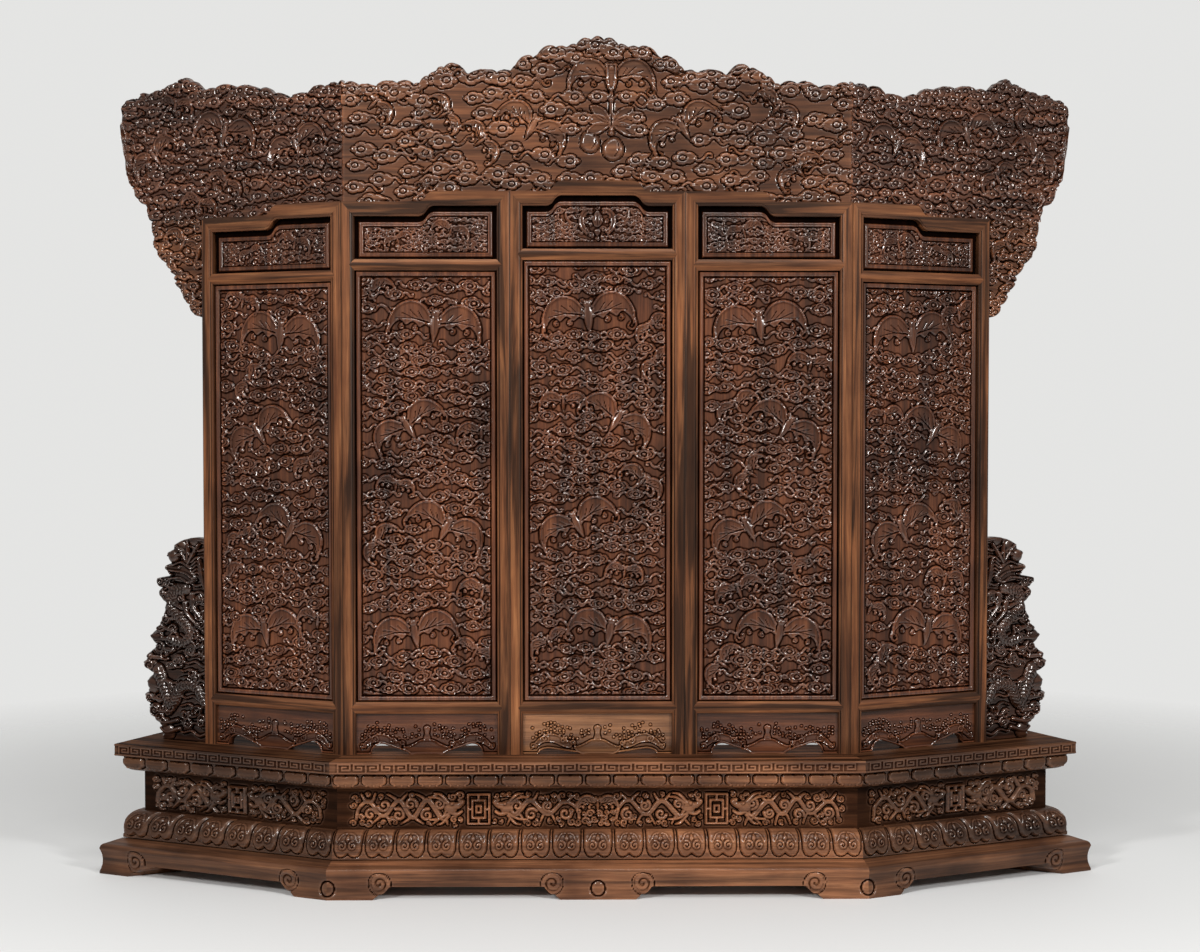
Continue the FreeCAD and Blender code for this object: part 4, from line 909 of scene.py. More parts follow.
# The middle upper panel's motif, its right half where it has two: wing, its edge, hook, bud and tail
CRESCENT = (
    (0.018, 0.043), (0.040, 0.040), (0.057, 0.016), (0.055, -0.016), (0.034, -0.039),
    (0.027, -0.030), (0.039, -0.012), (0.042, 0.010), (0.033, 0.025), (0.018, 0.031),
)
CRESCENT_EDGE = slice(0, 5)
CRESCENT_CURLS = ((0.021, 0.034), (0.032, -0.029))
SIDE_HOOK = ((0.088, 0.046), (0.100, 0.036), (0.101, 0.016), (0.090, 0.000), (0.078, -0.006))
BUD = both_sides(((0.0, 1.0), (0.42, 0.45), (0.58, -0.1), (0.36, -0.6), (0.0, -0.8)))
BUD_SEAMS = ((0.0, 0.0), (0.009, 0.003), (-0.009, 0.003))
BUD_TAIL = both_sides(((0.0, -0.020), (0.013, -0.028), (0.0, -0.048)))


def bud_bat(relief, x, z, rise):
    """A bat seen from the front, its crescent wings closed round a bud, with a hook beyond each."""
    def at(points, flip):
        return placed(points, x, z, 1.0, 0.0, flip)

    for flip in (1.0, -1.0):
        raised_shape(relief, at(CRESCENT, flip), 4, 0.9 * rise, 0.003, rim=0.2)
        strand(relief, at(CRESCENT[CRESCENT_EDGE], flip), 5, (0.0042, 0.0034), 1.1 * rise)
        for px, pz in at(CRESCENT_CURLS, flip):
            curl(relief, px, pz, 0.0085, 1.2, 1.6, -flip, (0.0032, 0.0022), rise)
        strand(relief, at(SIDE_HOOK, flip), 5, (0.0030, 0.0060), rise, 0.2)
    raised_shape(relief, placed(BUD, x, z + 0.008, 0.033), 5, 1.1 * rise, 0.005, dome=0.4)
    for across, lift in BUD_SEAMS:
        seam = [(x + 0.4 * across, z + 0.030), (x + across, z + 0.008), (x + 0.5 * across, z - 0.014 + lift)]
        strand(relief, seam, 5, (0.0020, 0.0014), -0.25 * rise)
    raised_shape(relief, placed(BUD_TAIL, x, z, 1.0), 4, rise, 0.004, dome=0.3)


# Level of the motifs over the foot, half widths of the clouds and radii of the curls
UPPER_LEVEL = 0.086
UPPER_CLOUDS = (0.013, 0.018)
UPPER_CURLS = (0.0065, 0.0105)


def upper_panel(number):
    """The shaped panel over a leaf: bats among vines, small clouds and curls."""
    section, node, x, _ = leaf_panel(number, "upper_panel")
    places = np.linspace(x[0] + 0.001, x[1] - 0.001, 180)
    bottom, top = upright_edges(node, section, places, 0.010)
    z = (bottom.min(), top.max())
    relief = Relief(x, z)
    rng = np.random.default_rng(60 + number)
    rise = UPPER_RISE
    middle = 0.5 * (x[0] + x[1])
    level = z[0] + UPPER_LEVEL
    if number == 3:
        taken = [(middle, level, 0.058)]
        for way in (-1, 1):
            vine(relief, middle + way * 0.112, level - 0.036, 0.095, way, rise)
            vine(relief, middle + way * 0.120, level + 0.004, 0.085, way, rise)
            taken.append((middle + way * 0.094, level + 0.018, 0.014))
        bud_bat(relief, middle, level + 0.002, rise)
    else:
        inwards = 1 if number < 3 else -1
        vine(relief, middle - inwards * 0.130, level - 0.020, 0.075, -inwards, rise)
        vine(relief, middle + inwards * 0.150, level + 0.004, 0.050, inwards, rise)
        vine(relief, middle + inwards * 0.020, level - 0.036, 0.060, -inwards, rise)
        bats = [(middle + inwards * 0.080, level + 0.002, 0.062, -inwards * 0.30),
                (middle - inwards * 0.090, level - 0.026, 0.046, inwards * 0.35)]
        taken = draw_bats(relief, bats, rise)
    scatter_clouds(relief, rng, x, z, taken, 0.8 * rise, UPPER_CLOUDS, 1500)
    fill_curls(relief, rng, x, z, 0.75 * rise, UPPER_CURLS, 2500)
    relief.undercut(CUT_ABOVE * rise, 0.0025, 0.0025)
    px, pz = map_places(relief)
    from_side, from_foot, from_top = UPPER_INSETS
    under = np.interp(px[0], places, top)[None, :] - pz
    sides = np.minimum(px - x[0], x[1] - px) - from_side
    inset = np.minimum(sides, np.minimum(pz - z[0] - from_foot, under - from_top))
    bordered(relief, inset, *UPPER_BORDER)
    surface = panel_surface(relief, x, bottom, top, UPPER_GROUND)
    grid = grid_for(x[1] - x[0], z[1] - z[0], CLOSE_CELL)
    material = finish("upper_panel", section, toned(CARVED_TONES, 0.90), "upright", True)
    leaf_carving(number, node, grid, surface, material)


# An apron's hill, its swell on the right, and the rock on the hill
APRON_HILL = both_sides((
    (0.0, 0.050), (0.022, 0.048), (0.044, 0.036), (0.066, 0.027), (0.078, 0.030), (0.074, 0.014),
    (0.046, -0.004),
))
APRON_SWELL = (
    (0.080, 0.018), (0.078, 0.036), (0.098, 0.044), (0.122, 0.058), (0.150, 0.062), (0.176, 0.050),
    (0.196, 0.030), (0.204, 0.012), (0.184, 0.022), (0.160, 0.034), (0.132, 0.032), (0.104, 0.020),
)
APRON_CURLS = ((0.076, 0.033, 0.009), (0.104, 0.040, 0.011), (0.160, 0.046, 0.012), (0.196, 0.024, 0.010))
ROCK = both_sides(((0.0, 0.096), (0.012, 0.088), (0.009, 0.068), (0.013, 0.046)))
APRON_SPREAD, APRON_LIFT = 1.07, 1.1
FOAM_ROWS, FOAM_REACH, FOAM_PITCH, FOAM_STEP, FOAM_DRIFT = 4, (0.026, 0.214), 0.0125, 0.0105, 0.003
# How much of its height the gap under the middle leaf's apron keeps
MIDDLE_GAP = 0.5


def apron(number):
    """The shaped apron at a leaf's foot: a rock on a hill between swelling waves, with foam over them."""
    section, node, x, (_, top) = leaf_panel(number, "apron")
    places = np.linspace(x[0] + 0.0005, x[1] - 0.0005, 260)
    bottom, _ = upright_edges(node, section, places, 0.012)
    if number == 3:
        bottom = MIDDLE_GAP * bottom
    relief = Relief(x, (0.0, top))
    rng = np.random.default_rng(90 + number)
    rise = APRON_RISE
    middle = 0.5 * (x[0] + x[1])
    for way in (-1, 1):
        spread = way * APRON_SPREAD
        swell = [(middle + spread * px, APRON_LIFT * pz) for px, pz in APRON_SWELL]
        raised_shape(relief, swell, 5, rise, 0.0030, rim=0.45)
        for px, pz, radius in APRON_CURLS:
            place = (middle + spread * px, APRON_LIFT * pz)
            curl(relief, *place, radius, 1.3, 0.6 * way, -way, (0.0030, 0.0020), 1.05 * rise)
    raised_shape(relief, placed(APRON_HILL, middle, 0.0, 1.0), 5, 1.1 * rise, 0.0030, rim=0.40)
    raised_shape(relief, placed(ROCK, middle, 0.0, 1.0), 4, rise, 0.004, dome=0.3)
    for row in range(FOAM_ROWS):
        for px in np.arange(*FOAM_REACH, FOAM_PITCH):
            for way in (-1, 1):
                dx, dz = rng.uniform(-FOAM_DRIFT, FOAM_DRIFT, 2)
                crown = 0.060 + 0.010 * math.cos((px - 0.155) * 42)
                if rng.uniform() < 0.86 - 0.12 * row:
                    knob(relief, middle + way * (px + dx), crown + FOAM_STEP * row + dz, 0.0038, 0.9 * rise)
    ribbon(relief, np.column_stack([places, bottom + 0.0030])[::2], (0.0030, 0.0030), rise)
    relief.undercut(0.15 * rise, 0.003, 0.003)
    surface = panel_surface(relief, x, bottom, np.full(len(bottom), top), APRON_GROUND)
    grid = grid_for(x[1] - x[0], top, CLOSE_CELL)
    tones = APRON_TONES if number == 3 else CARVED_TONES
    material = finish(f"apron_{number}", section, tones, "level", True)
    leaf_carving(number, node, grid, surface, material)


for number in LEAF_SECTIONS:
    main_panel(number)
    upper_panel(number)
    apron(number)


# Crest and spandrels

# How far an edge falls back, and over what width
EDGE_ROUND, EDGE_WIDTH = 0.013, 0.016
# How far the wear reaches in from a crest part's seam
WORN_EDGE = 0.0035


def rounded_back(distance):
    """How far a carved face falls back near its outline."""
    return EDGE_ROUND * (1 - np.sqrt(1 - (1 - np.clip(distance / EDGE_WIDTH, 0, 1)) ** 2))


def lobe_bite(place, pitch, depth):
    """The notches between the lobes of a cloudy edge."""
    wander = 1.1 * np.sin(place * 9.0) + 0.6 * np.sin(place * 23.0)
    return depth * (1 - np.abs(np.cos(math.pi * place / pitch + wander)) ** 0.5)


def crest_surface(relief, ends, places, low, high, depths):
    """A surface function for a crest between two outlines, its ends following ends(depth)."""
    cavities = relief.cavity()
    ground, back_depth = depths
    seams = [place if abs(place) < SEAM_X else 2 * place for place in ends(ground)]

    def surface(u, v, back):
        left, right = ends(ground)
        px = left + u * (right - left)
        bottom, top = np.interp(px, places, low), np.interp(px, places, high)
        pz = bottom + v * (top - bottom)
        if back:
            depth = np.full(len(u), back_depth)
        else:
            depth = ground - relief.at(px, pz) + rounded_back((1 - v) * (top - bottom))
        left, right = ends(depth)
        worn = 0.9 * np.exp(-(np.minimum(px - seams[0], seams[1] - px) / WORN_EDGE) ** 2)
        cavity = np.clip(relief.at(px, pz, cavities) - worn, -1, 1)
        return np.column_stack([left + u * (right - left), depth, pz]), cavity

    return surface


# A peach, a leaf, and the shield on the back of the crest's middle bat
PEACH = both_sides(((0.0, 1.0), (0.55, 0.72), (0.92, 0.10), (0.70, -0.66), (0.0, -1.0)))
LEAF_SHAPE = ((0.0, 0.0), (0.35, 0.24), (0.75, 0.22), (1.0, 0.0), (0.70, -0.16), (0.32, -0.14))
SHIELD = both_sides(((0.0, 1.0), (0.36, 0.98), (0.46, 0.60), (0.40, -0.40), (0.22, -0.90), (0.0, -1.0)))
LEAF_TURNS = ((0.62, 1.0), (0.10, 1.0), (-0.45, 1.0), (0.70, -1.0), (0.20, -1.0), (-0.40, -1.0))
PEACHES = ((0.006, -0.168, 0.043, -0.2), (-0.070, -0.146, 0.040, 0.5))
CREST_RISE = 0.011
# Depth of the crest's ground, and the pitch and depth of its edge's lobes
CREST_GROUND = 0.0135
CREST_LOBES = (0.062, 0.014)
CREST_SPANS = (0.065, 0.090)
CREST_CURLS = (0.010, 0.016)
CREST_CLOUDS = {"left": (0.025, 0.035), "centre": (0.034, 0.046), "right": (0.025, 0.035)}
CREST_FOOT = 1.800
# Big bats of the crest, as raised in the solids: (across, up, half span, turn in degrees)
CENTRE_BATS = ((0.045, 0.390, 0.138, 0), (0.280, 0.235, 0.120, 31), (-0.215, 0.235, 0.120, -31))
WING_BATS = ((0.176, 0.186, 0.108, -20), (0.457, 0.244, 0.120, 15), (0.738, 0.178, 0.096, -35))


def hanging_peaches(relief, x, z, rise):
    """A shield on the middle bat, a cord below it, and two peaches with their leaves."""
    raised_shape(relief, placed(SHIELD, x, z + 0.062, 0.046), 4, 1.35 * rise, 0.005, rim=0.22)
    ribbon(relief, [(x, z + 0.015), (x, z - 0.118)], (0.0060, 0.0050), 0.8 * rise, 0.5)
    for drop in (0.010, 0.118):
        knob(relief, x, z - drop, 0.010, rise)
    for turn, flip in LEAF_TURNS:
        leaf = placed(LEAF_SHAPE, x, z - 0.088, 0.092, turn * flip, flip)
        raised_shape(relief, leaf, 5, 0.85 * rise, 0.004, rim=0.25)
    for across, up, size, turn in PEACHES:
        px, pz = x + across, z + up
        raised_shape(relief, placed(PEACH, px, pz, size, turn), 5, 1.25 * rise, 0.014, dome=0.35)
        seam = [(px + 0.014, pz + 0.024), (px + 0.019, pz), (px + 0.005, pz - 0.024)]
        strand(relief, seam, 5, (0.0022, 0.0014), -0.25 * rise)


def edge_clouds(relief, rng, places, edge, pitch, rise):
    """Cloud heads of uneven size along a lobed upper edge."""
    for px in np.arange(places[0] + pitch / 2, places[-1], pitch):
        px = px + rng.uniform(-0.25, 0.25) * pitch
        half = rng.uniform(0.46, 0.72) * pitch
        pz = np.interp(px, places, edge) - rng.uniform(0.016, 0.030)
        cloud(relief, px, pz, half, CLOUD_FLATNESS * half, rng.normal(0, 0.2), rise, PLATED)


def crest(name, section, big_bats, more_bats, tones, seed):
    """One part of the crest: bats and close clouds under a cloudy upper edge."""
    low, high = local_box(name, section)
    ground, back_depth = low[1] + CREST_GROUND, high[1]

    def ends(depth):
        if section == "centre":
            half = SEAM_X - SEAM_GAP - MITRE * depth
            return -half, half
        if section == "right":
            return SEAM_GAP + MITRE * depth, high[0]
        return low[0], -SEAM_GAP - MITRE * depth

    def edges(px):
        return np.interp(px, places, bottom), np.interp(px, places, top)

    left, right = ends(ground)
    places = np.linspace(left + 0.0005, right - 0.0005, 640)
    bottom, top = upright_edges(name, section, places, back_depth - 0.003)
    rng = np.random.default_rng(seed)
    top = top - lobe_bite(places, *CREST_LOBES)
    across, up = (left, right), (bottom.min(), top.max())
    relief = Relief(across, up)
    mirror = -1 if section == "left" else 1
    bats = []
    for px, pz, half, turn in big_bats:
        bats.append((mirror * px, CREST_FOOT + pz, half, mirror * math.radians(turn)))
    bats += spread_bats(rng, (left + 0.05, right - 0.05), edges, more_bats, CREST_SPANS, bats)
    taken = draw_bats(relief, bats, 1.15 * CREST_RISE)
    if section == "centre":
        px, pz = bats[0][:2]
        hanging_peaches(relief, px, pz - 0.05, 1.1 * CREST_RISE)
        taken += [(px - 0.03, pz - 0.205, 0.058), (px, pz - 0.12, 0.05)]
    edge_clouds(relief, rng, places, top, CREST_LOBES[0], CREST_RISE)
    scatter_clouds(relief, rng, across, up, taken, CREST_RISE, CREST_CLOUDS[section], 8000, PLATED)
    if section != "centre":
        fill_curls(relief, rng, across, up, 0.75 * CREST_RISE, CREST_CURLS, 5000)
    relief.undercut(CUT_ABOVE * CREST_RISE)
    surface = crest_surface(relief, ends, places, bottom, top, (ground, back_depth))
    cell = LONG_CREST_CELL if section == "centre" else FINE_CELL
    grid = grid_for(right - left, 0.84 * (up[1] - up[0]), cell)
    material = finish(f"carved_{name}", section, tones, "level", True)
    carved_piece(f"carving_{name}", grid, surface, section, name, material, (name,))


crest("crest_centre", "centre", CENTRE_BATS, 5, CREST_TONES, 7)
crest("crest_left", "left", WING_BATS, 3, DARK_TONES, 8)
crest("crest_right", "right", WING_BATS, 3, DARK_TONES, 9)


def bracket_surface(relief, zs, inner, outer, way, depths):
    """A surface function for a bracket between an upright edge and a lobed outer edge."""
    cavities = relief.cavity()
    ground, back_depth = depths

    def surface(u, v, back):
        pz = zs[0] + v * (zs[-1] - zs[0])
        edge = np.interp(pz, zs, outer)
        across = u if way > 0 else 1 - u
        px = inner + across * (edge - inner)
        if back:
            depth = np.full(len(u), back_depth)
        else:
            depth = ground - relief.at(px, pz) + rounded_back(np.abs(edge - px))
        return np.column_stack([px, depth, pz]), relief.at(px, pz, cavities)

    return surface


# Outer edge of a wing leaf's stile, where its brackets start
STILE_EDGE = 0.5456


def bracket(name, section, way, body, ground_depth, tones, carve, lobes):
    """A carved bracket on a wing's outer stile; carve fills its height map."""
    low, high = local_box(name, section)
    inner = way * STILE_EDGE
    zs = np.linspace(max(low[2], 0.0) + 0.0005, high[2] - 0.0005, 360)
    outer = side_edge(name, section, zs, low[1] + 0.002, way)
    outer = outer - way * np.minimum(lobe_bite(zs, *lobes), 0.7 * np.abs(outer - inner))
    relief = Relief(sorted((inner, way * np.abs(outer).max())), (zs[0], zs[-1]))
    carve(relief, inner, way, zs, outer)
    surface = bracket_surface(relief, zs, inner, outer, way, (low[1] + ground_depth, high[1]))
    grid = grid_for(0.8 * np.abs(outer - inner).max(), zs[-1] - zs[0], BRACKET_CELL)
    material = finish(f"carved_{name}", section, tones, "level", True, BRACKET_ROUGH)
    carved_piece(f"carving_{name}", grid, surface, section, body, material, (name,))


def hanging_carving(relief, inner, way, zs, outer):
    """A bat and clouds for an upper spandrel."""
    rng = np.random.default_rng(31)
    taken = draw_bats(relief, [(inner + way * 0.085, zs[-1] - 0.085, 0.075, way * 0.6)], 1.1 * CREST_RISE)
    for pz in np.arange(zs[0] + 0.02, zs[-1], 0.044):
        px = np.interp(pz, zs, outer) - way * 0.018
        cloud(relief, px, pz, 0.030, 0.021, 0.0, CREST_RISE, PLATED)
        taken.append((px, pz, 0.010))
    x = sorted((inner, way * np.abs(outer).max()))
    scatter_clouds(relief, rng, x, (zs[0], zs[-1]), taken, CREST_RISE, (0.021, 0.029), 2500, PLATED)
    relief.undercut(CUT_ABOVE * CREST_RISE)


# The dragon, outwards from the stile and up: two lengths of its body, claws, head, ridges and horn tips
DRAGON_RISE = 0.020
DRAGON_SCALES = 0.013
DRAGON_LOWER = (
    (0.010, 0.130), (0.050, 0.185), (0.110, 0.180), (0.150, 0.125), (0.185, 0.190), (0.205, 0.235),
)
DRAGON_UPPER = (
    (0.150, 0.345), (0.095, 0.335), (0.070, 0.375), (0.115, 0.420), (0.150, 0.455), (0.140, 0.505),
    (0.090, 0.520),
)
DRAGON_CLAWS = (((0.060, 0.500), (0.020, 0.420)), ((0.090, 0.470), (0.040, 0.400)))
DRAGON_HEAD = (
    (0.030, 0.560), (0.065, 0.600), (0.120, 0.610), (0.165, 0.600), (0.172, 0.578), (0.130, 0.570),
    (0.155, 0.545), (0.110, 0.535), (0.060, 0.530),
)
DRAGON_RIDGES = (
    ((0.060, 0.590), (0.095, 0.608), (0.130, 0.598)),
    ((0.050, 0.555), (0.085, 0.574), (0.150, 0.580)),
    ((0.070, 0.540), (0.105, 0.556), (0.148, 0.550)),
)
HORN_TIPS = ((0.030, 0.670), (0.075, 0.680), (0.120, 0.665))


def dragon_carving(relief, inner, way, zs, outer):
    """A scaled dragon winding up through curling clouds and waves, for a lower spandrel."""
    rng = np.random.default_rng(47)
    rise = DRAGON_RISE

    def at(points):
        return [(inner + way * px, pz) for px, pz in points]

    for level in np.arange(0.02, zs[-1], 0.030):
        t = np.linspace(0, 0.11, 12)
        wave = np.column_stack([inner + way * t, level + 0.006 * np.sin(t * 95 + level * 60) + 0.12 * t])
        ribbon(relief, wave, (0.0065, 0.0040), 0.50 * rise)
    pz = 0.025
    while pz < zs[-1]:
        size = rng.uniform(0.016, 0.036)
        px = np.interp(pz, zs, outer) - way * rng.uniform(0.010, 0.034)
        knob(relief, px, pz, size, rng.uniform(0.55, 0.80) * rise)
        root = (px - way * 0.050, pz - rng.uniform(-0.02, 0.03))
        stalk = [root, (px, pz), (px + way * 0.03, pz + 0.012)]
        strand(relief, stalk, 6, (0.009, 0.006), 0.75 * rise)
        if rng.uniform() < 0.45:
            start = rng.uniform(0, math.tau)
            curl(relief, px, pz, 0.7 * size, 1.4, start, way, (0.0055, 0.0035), 0.90 * rise)
        pz += rng.uniform(0.024, 0.046)
    for _ in range(70):
        px, pz = inner + way * rng.uniform(0.02, 0.20), rng.uniform(0.02, zs[-1] - 0.02)
        radius, start = rng.uniform(0.014, 0.022), rng.uniform(0, math.tau)
        level = rng.uniform(0.55, 0.75)
        curl(relief, px, pz, radius, 1.4, start, way, (0.0052, 0.0030), level * rise)
    strand(relief, at(DRAGON_LOWER), 12, (0.020, 0.026), rise, scales=DRAGON_SCALES)
    strand(relief, at(DRAGON_UPPER), 12, (0.018, 0.024), rise, scales=DRAGON_SCALES)
    for start, end in DRAGON_CLAWS:
        claw = at((start, (0.5 * (start[0] + end[0]) + 0.015, 0.5 * (start[1] + end[1])), end))
        strand(relief, claw, 8, (0.011, 0.007), 0.85 * rise)
        knob(relief, *at((end,))[0], 0.012, 0.9 * rise)
    raised_shape(relief, at(DRAGON_HEAD), 5, 1.08 * rise, 0.012, dome=0.3)
    knob(relief, *at(((0.105, 0.592),))[0], 0.010, 1.3 * rise)
    knob(relief, *at(((0.162, 0.592),))[0], 0.014, 1.2 * rise)
    for ridge in DRAGON_RIDGES:
        strand(relief, at(ridge), 6, (0.0070, 0.0045), 1.25 * rise)
    for index in range(6):
        root, swing = 0.55 + 0.012 * index, 0.010 * index
        mane = at(((0.060, root), (0.030, root + 0.012), (0.006, root - 0.030 - swing)))
        strand(relief, mane, 8, (0.0060, 0.0035), 0.85 * rise)
    for tip in HORN_TIPS:
        horn = at(((0.075, 0.605), (0.5 * (0.075 + tip[0]), 0.640), tip))
        strand(relief, horn, 8, (0.0085, 0.0050), 0.95 * rise)
    relief.undercut(0.2 * rise, 0.005, 0.0045)


for side, way, leaf_body in (("left", -1, "leaf_1"), ("right", 1, "leaf_5")):
    upper, lower = f"upper_spandrel_{side}", f"lower_spandrel_{side}"
    bracket(upper, side, way, leaf_body, 0.012, CREST_TONES, hanging_carving, (0.046, 0.012))
    bracket(lower, side, way, lower, 0.024, SHADE_TONES, dragon_carving, (0.052, 0.018))


# Base mouldings

def bend(start, via, end, steps=10):
    """Points of a smooth bend through a middle point, without its start."""
    start, via, end = (np.array(p, float) for p in (start, via, end))
    pull = 2 * via - 0.5 * (start + end)
    t = np.linspace(0, 1, steps + 1)[1:, None]
    return [tuple(p) for p in (1 - t) ** 2 * start + 2 * t * (1 - t) * pull + t ** 2 * end]


# Each moulding's face as (outward of the waist, height), from its foot to its top
PROFILES = {
    "plinth": [(0.113, 0.0), (0.113, 0.008)] + bend((0.113, 0.008), (0.105, 0.045), (0.113, 0.084))
    + bend((0.113, 0.084), (0.107, 0.100), (0.092, 0.107)) + [(0.062, 0.118)],
    "lotus": [(0.052, 0.118), (0.052, 0.130), (0.050, 0.130), (0.050, 0.1405)]
    + bend((0.050, 0.1405), (0.040, 0.182), (0.012, 0.202)),
    "waist": [(0.0, 0.202), (0.0, 0.340)],
    "cornice": [(0.0, 0.340), (0.014, 0.340)] + bend((0.014, 0.340), (0.040, 0.351), (0.049, 0.372))
    + [(0.049, 0.396)],
}


def base_runs(section):
    """Runs round a section: side, place on the waist's face, outward way, and (place, slope) of each end."""
    front, back, k, wing = WAIST_FRONT, WAIST_BACK, MITRE, WING_WAIST
    if section == "centre":
        a, b = SEAM_X - k * front, SEAM_X - k * back
        return (("front", (0, front), (0, -1), (-a, -k), (a, k)),
                ("back", (0, back), (0, 1), (-b, k), (b, -k)))
    if section == "right":
        return (("front", (0, front), (0, -1), (k * front, -k), (wing, 1)),
                ("end", (wing, 0), (1, 0), (front, -1), (back, 1)),
                ("back", (0, back), (0, 1), (-wing, -1), (-k * back, -k)))
    return (("front", (0, front), (0, -1), (-wing, -1), (-k * front, k)),
            ("end", (-wing, 0), (-1, 0), (-back, -1), (-front, 1)),
            ("back", (0, back), (0, 1), (k * back, k), (wing, 1)))


class Run:
    """One straight run of a moulding, over s along it and w up its profile."""

    def __init__(self, section, ring, run):
        self.section = section
        self.side, origin, outward, self.start, self.end = run
        self.origin, self.outward = np.array(origin, float), np.array(outward, float)
        self.along = np.array((-outward[1], outward[0]), float)
        points = np.array(PROFILES[ring])
        self.out, self.z = points[:, 0], points[:, 1] - base_top
        self.w = np.concatenate([[0], np.cumsum(np.hypot(*np.diff(points, axis=0).T))])
        self.height = self.w[-1]
        self.nominal = self.out.max()
        slope = np.gradient(points, axis=0)
        slope /= np.hypot(*slope.T)[:, None]
        self.normal = np.column_stack([slope[:, 1], -slope[:, 0]])
        self.low, self.high = self.ends(self.nominal)

    def ends(self, out):
        return self.start[0] + self.start[1] * out, self.end[0] + self.end[1] * out

    def surface(self, relief, floor=None):
        cavities = relief.cavity()

        def surface(u, v, back):
            s = self.low + u * (self.high - self.low)
            foot = np.zeros(len(u)) if floor is None else np.interp(s, *floor)
            w = foot + v * (self.height - foot)
            out, z = np.interp(w, self.w, self.out), np.interp(w, self.w, self.z)
            if back:
                out = np.full(len(u), RING_INNER)
            else:
                rise = relief.at(s, w)
                out = out + rise * np.interp(w, self.w, self.normal[:, 0])
                z = z + rise * np.interp(w, self.w, self.normal[:, 1])
            low, high = self.ends(out)
            place = low + u * (high - low)
            plan = self.origin + place[:, None] * self.along + out[:, None] * self.outward
            return np.column_stack([plan, z]), relief.at(s, w, cavities)

        return surface


# Petals across their pitch and up their height, and arms of a lotus petal's curls
LOTUS_PETAL = both_sides((
    (0.47, 1.06), (0.47, 0.55), (0.45, 0.26), (0.36, 0.06), (0.22, 0.0), (0.08, 0.05), (0.0, 0.14),
))
LOTUS_ARM = ((0.05, 0.80), (0.20, 0.74), (0.34, 0.50))
HANGING_PETAL = both_sides((
    (0.0, 0.94), (0.10, 1.0), (0.36, 1.0), (0.46, 0.80), (0.46, 0.42), (0.38, 0.24), (0.27, 0.20),
    (0.16, 0.04), (0.0, 0.0),
))
PETAL_DOTS = (-0.26, 0.0, 0.26)
# Lowest height, depth and reach of the cut round petals
PETAL_CUT = (0.0012, 0.006, 0.0040)


def petal_row(relief, run, width, span, outline, rise, bevel, dome):
    """Carve a row of petals along a run, and give each one's middle, the pitch and the height."""
    foot, top = span
    count = max(1, round((run.high - run.low) / width))
    pitch = (run.high - run.low) / count
    height = top - foot
    for index in range(count):
        middle = run.low + (index + 0.5) * pitch
        petal = np.array([(middle + px * pitch, foot + pz * height) for px, pz in outline])
        plaque(relief, petal, rise, bevel, dome=dome)
        yield middle, pitch, height


def lotus_petals(relief, run):
    """Broad petals with two round lips at the foot, a pair of curls and a bud on each."""
    foot = 0.003
    row = petal_row(relief, run, 0.099, (foot, run.height - 0.001), LOTUS_PETAL, 0.0085, 0.009, 0.15)
    for middle, pitch, height in row:
        for way in (-1, 1):
            px, pz = middle + way * 0.17 * pitch, foot + 0.42 * height
            curl(relief, px, pz, 0.0135, 1.2, 1.57, way, (0.0042, 0.0030), 0.0120)
            arm = [(middle + way * across * pitch, foot + up * height) for across, up in LOTUS_ARM]
            strand(relief, arm, 6, (0.0034, 0.0024), 0.0112)
        bud = placed(BUD, middle, foot + 0.64 * height, 0.013)
        raised_shape(relief, bud, 3, 0.0118, 0.003)
    relief.undercut(*PETAL_CUT)


def hanging_petals(relief, run):
    """Short petals that hang round the cornice, lobed along the foot, with three dots each."""
    foot = 0.038
    row = petal_row(relief, run, 0.089, (foot, run.height - 0.003), HANGING_PETAL, 0.0080, 0.007, 0.12)
    for middle, pitch, height in row:
        for way in PETAL_DOTS:
            knob(relief, middle + way * pitch, foot + 0.30 * height, 0.0046, 0.0110)
    relief.undercut(*PETAL_CUT)


# Parts of a scroll dragon's head beyond its neck, and its mane's tips up and back
SNOUT = ((0.018, 0.010), (0.040, 0.012), (0.054, 0.024), (0.044, 0.030))
JAW = ((0.014, -0.008), (0.036, -0.016), (0.052, -0.008))
MANE_TIPS = ((0.052, 0.036), (0.040, 0.054), (-0.034, 0.050), (-0.050, 0.026))
HEAD_LENGTH, BEND_PITCH = 0.062, 0.046


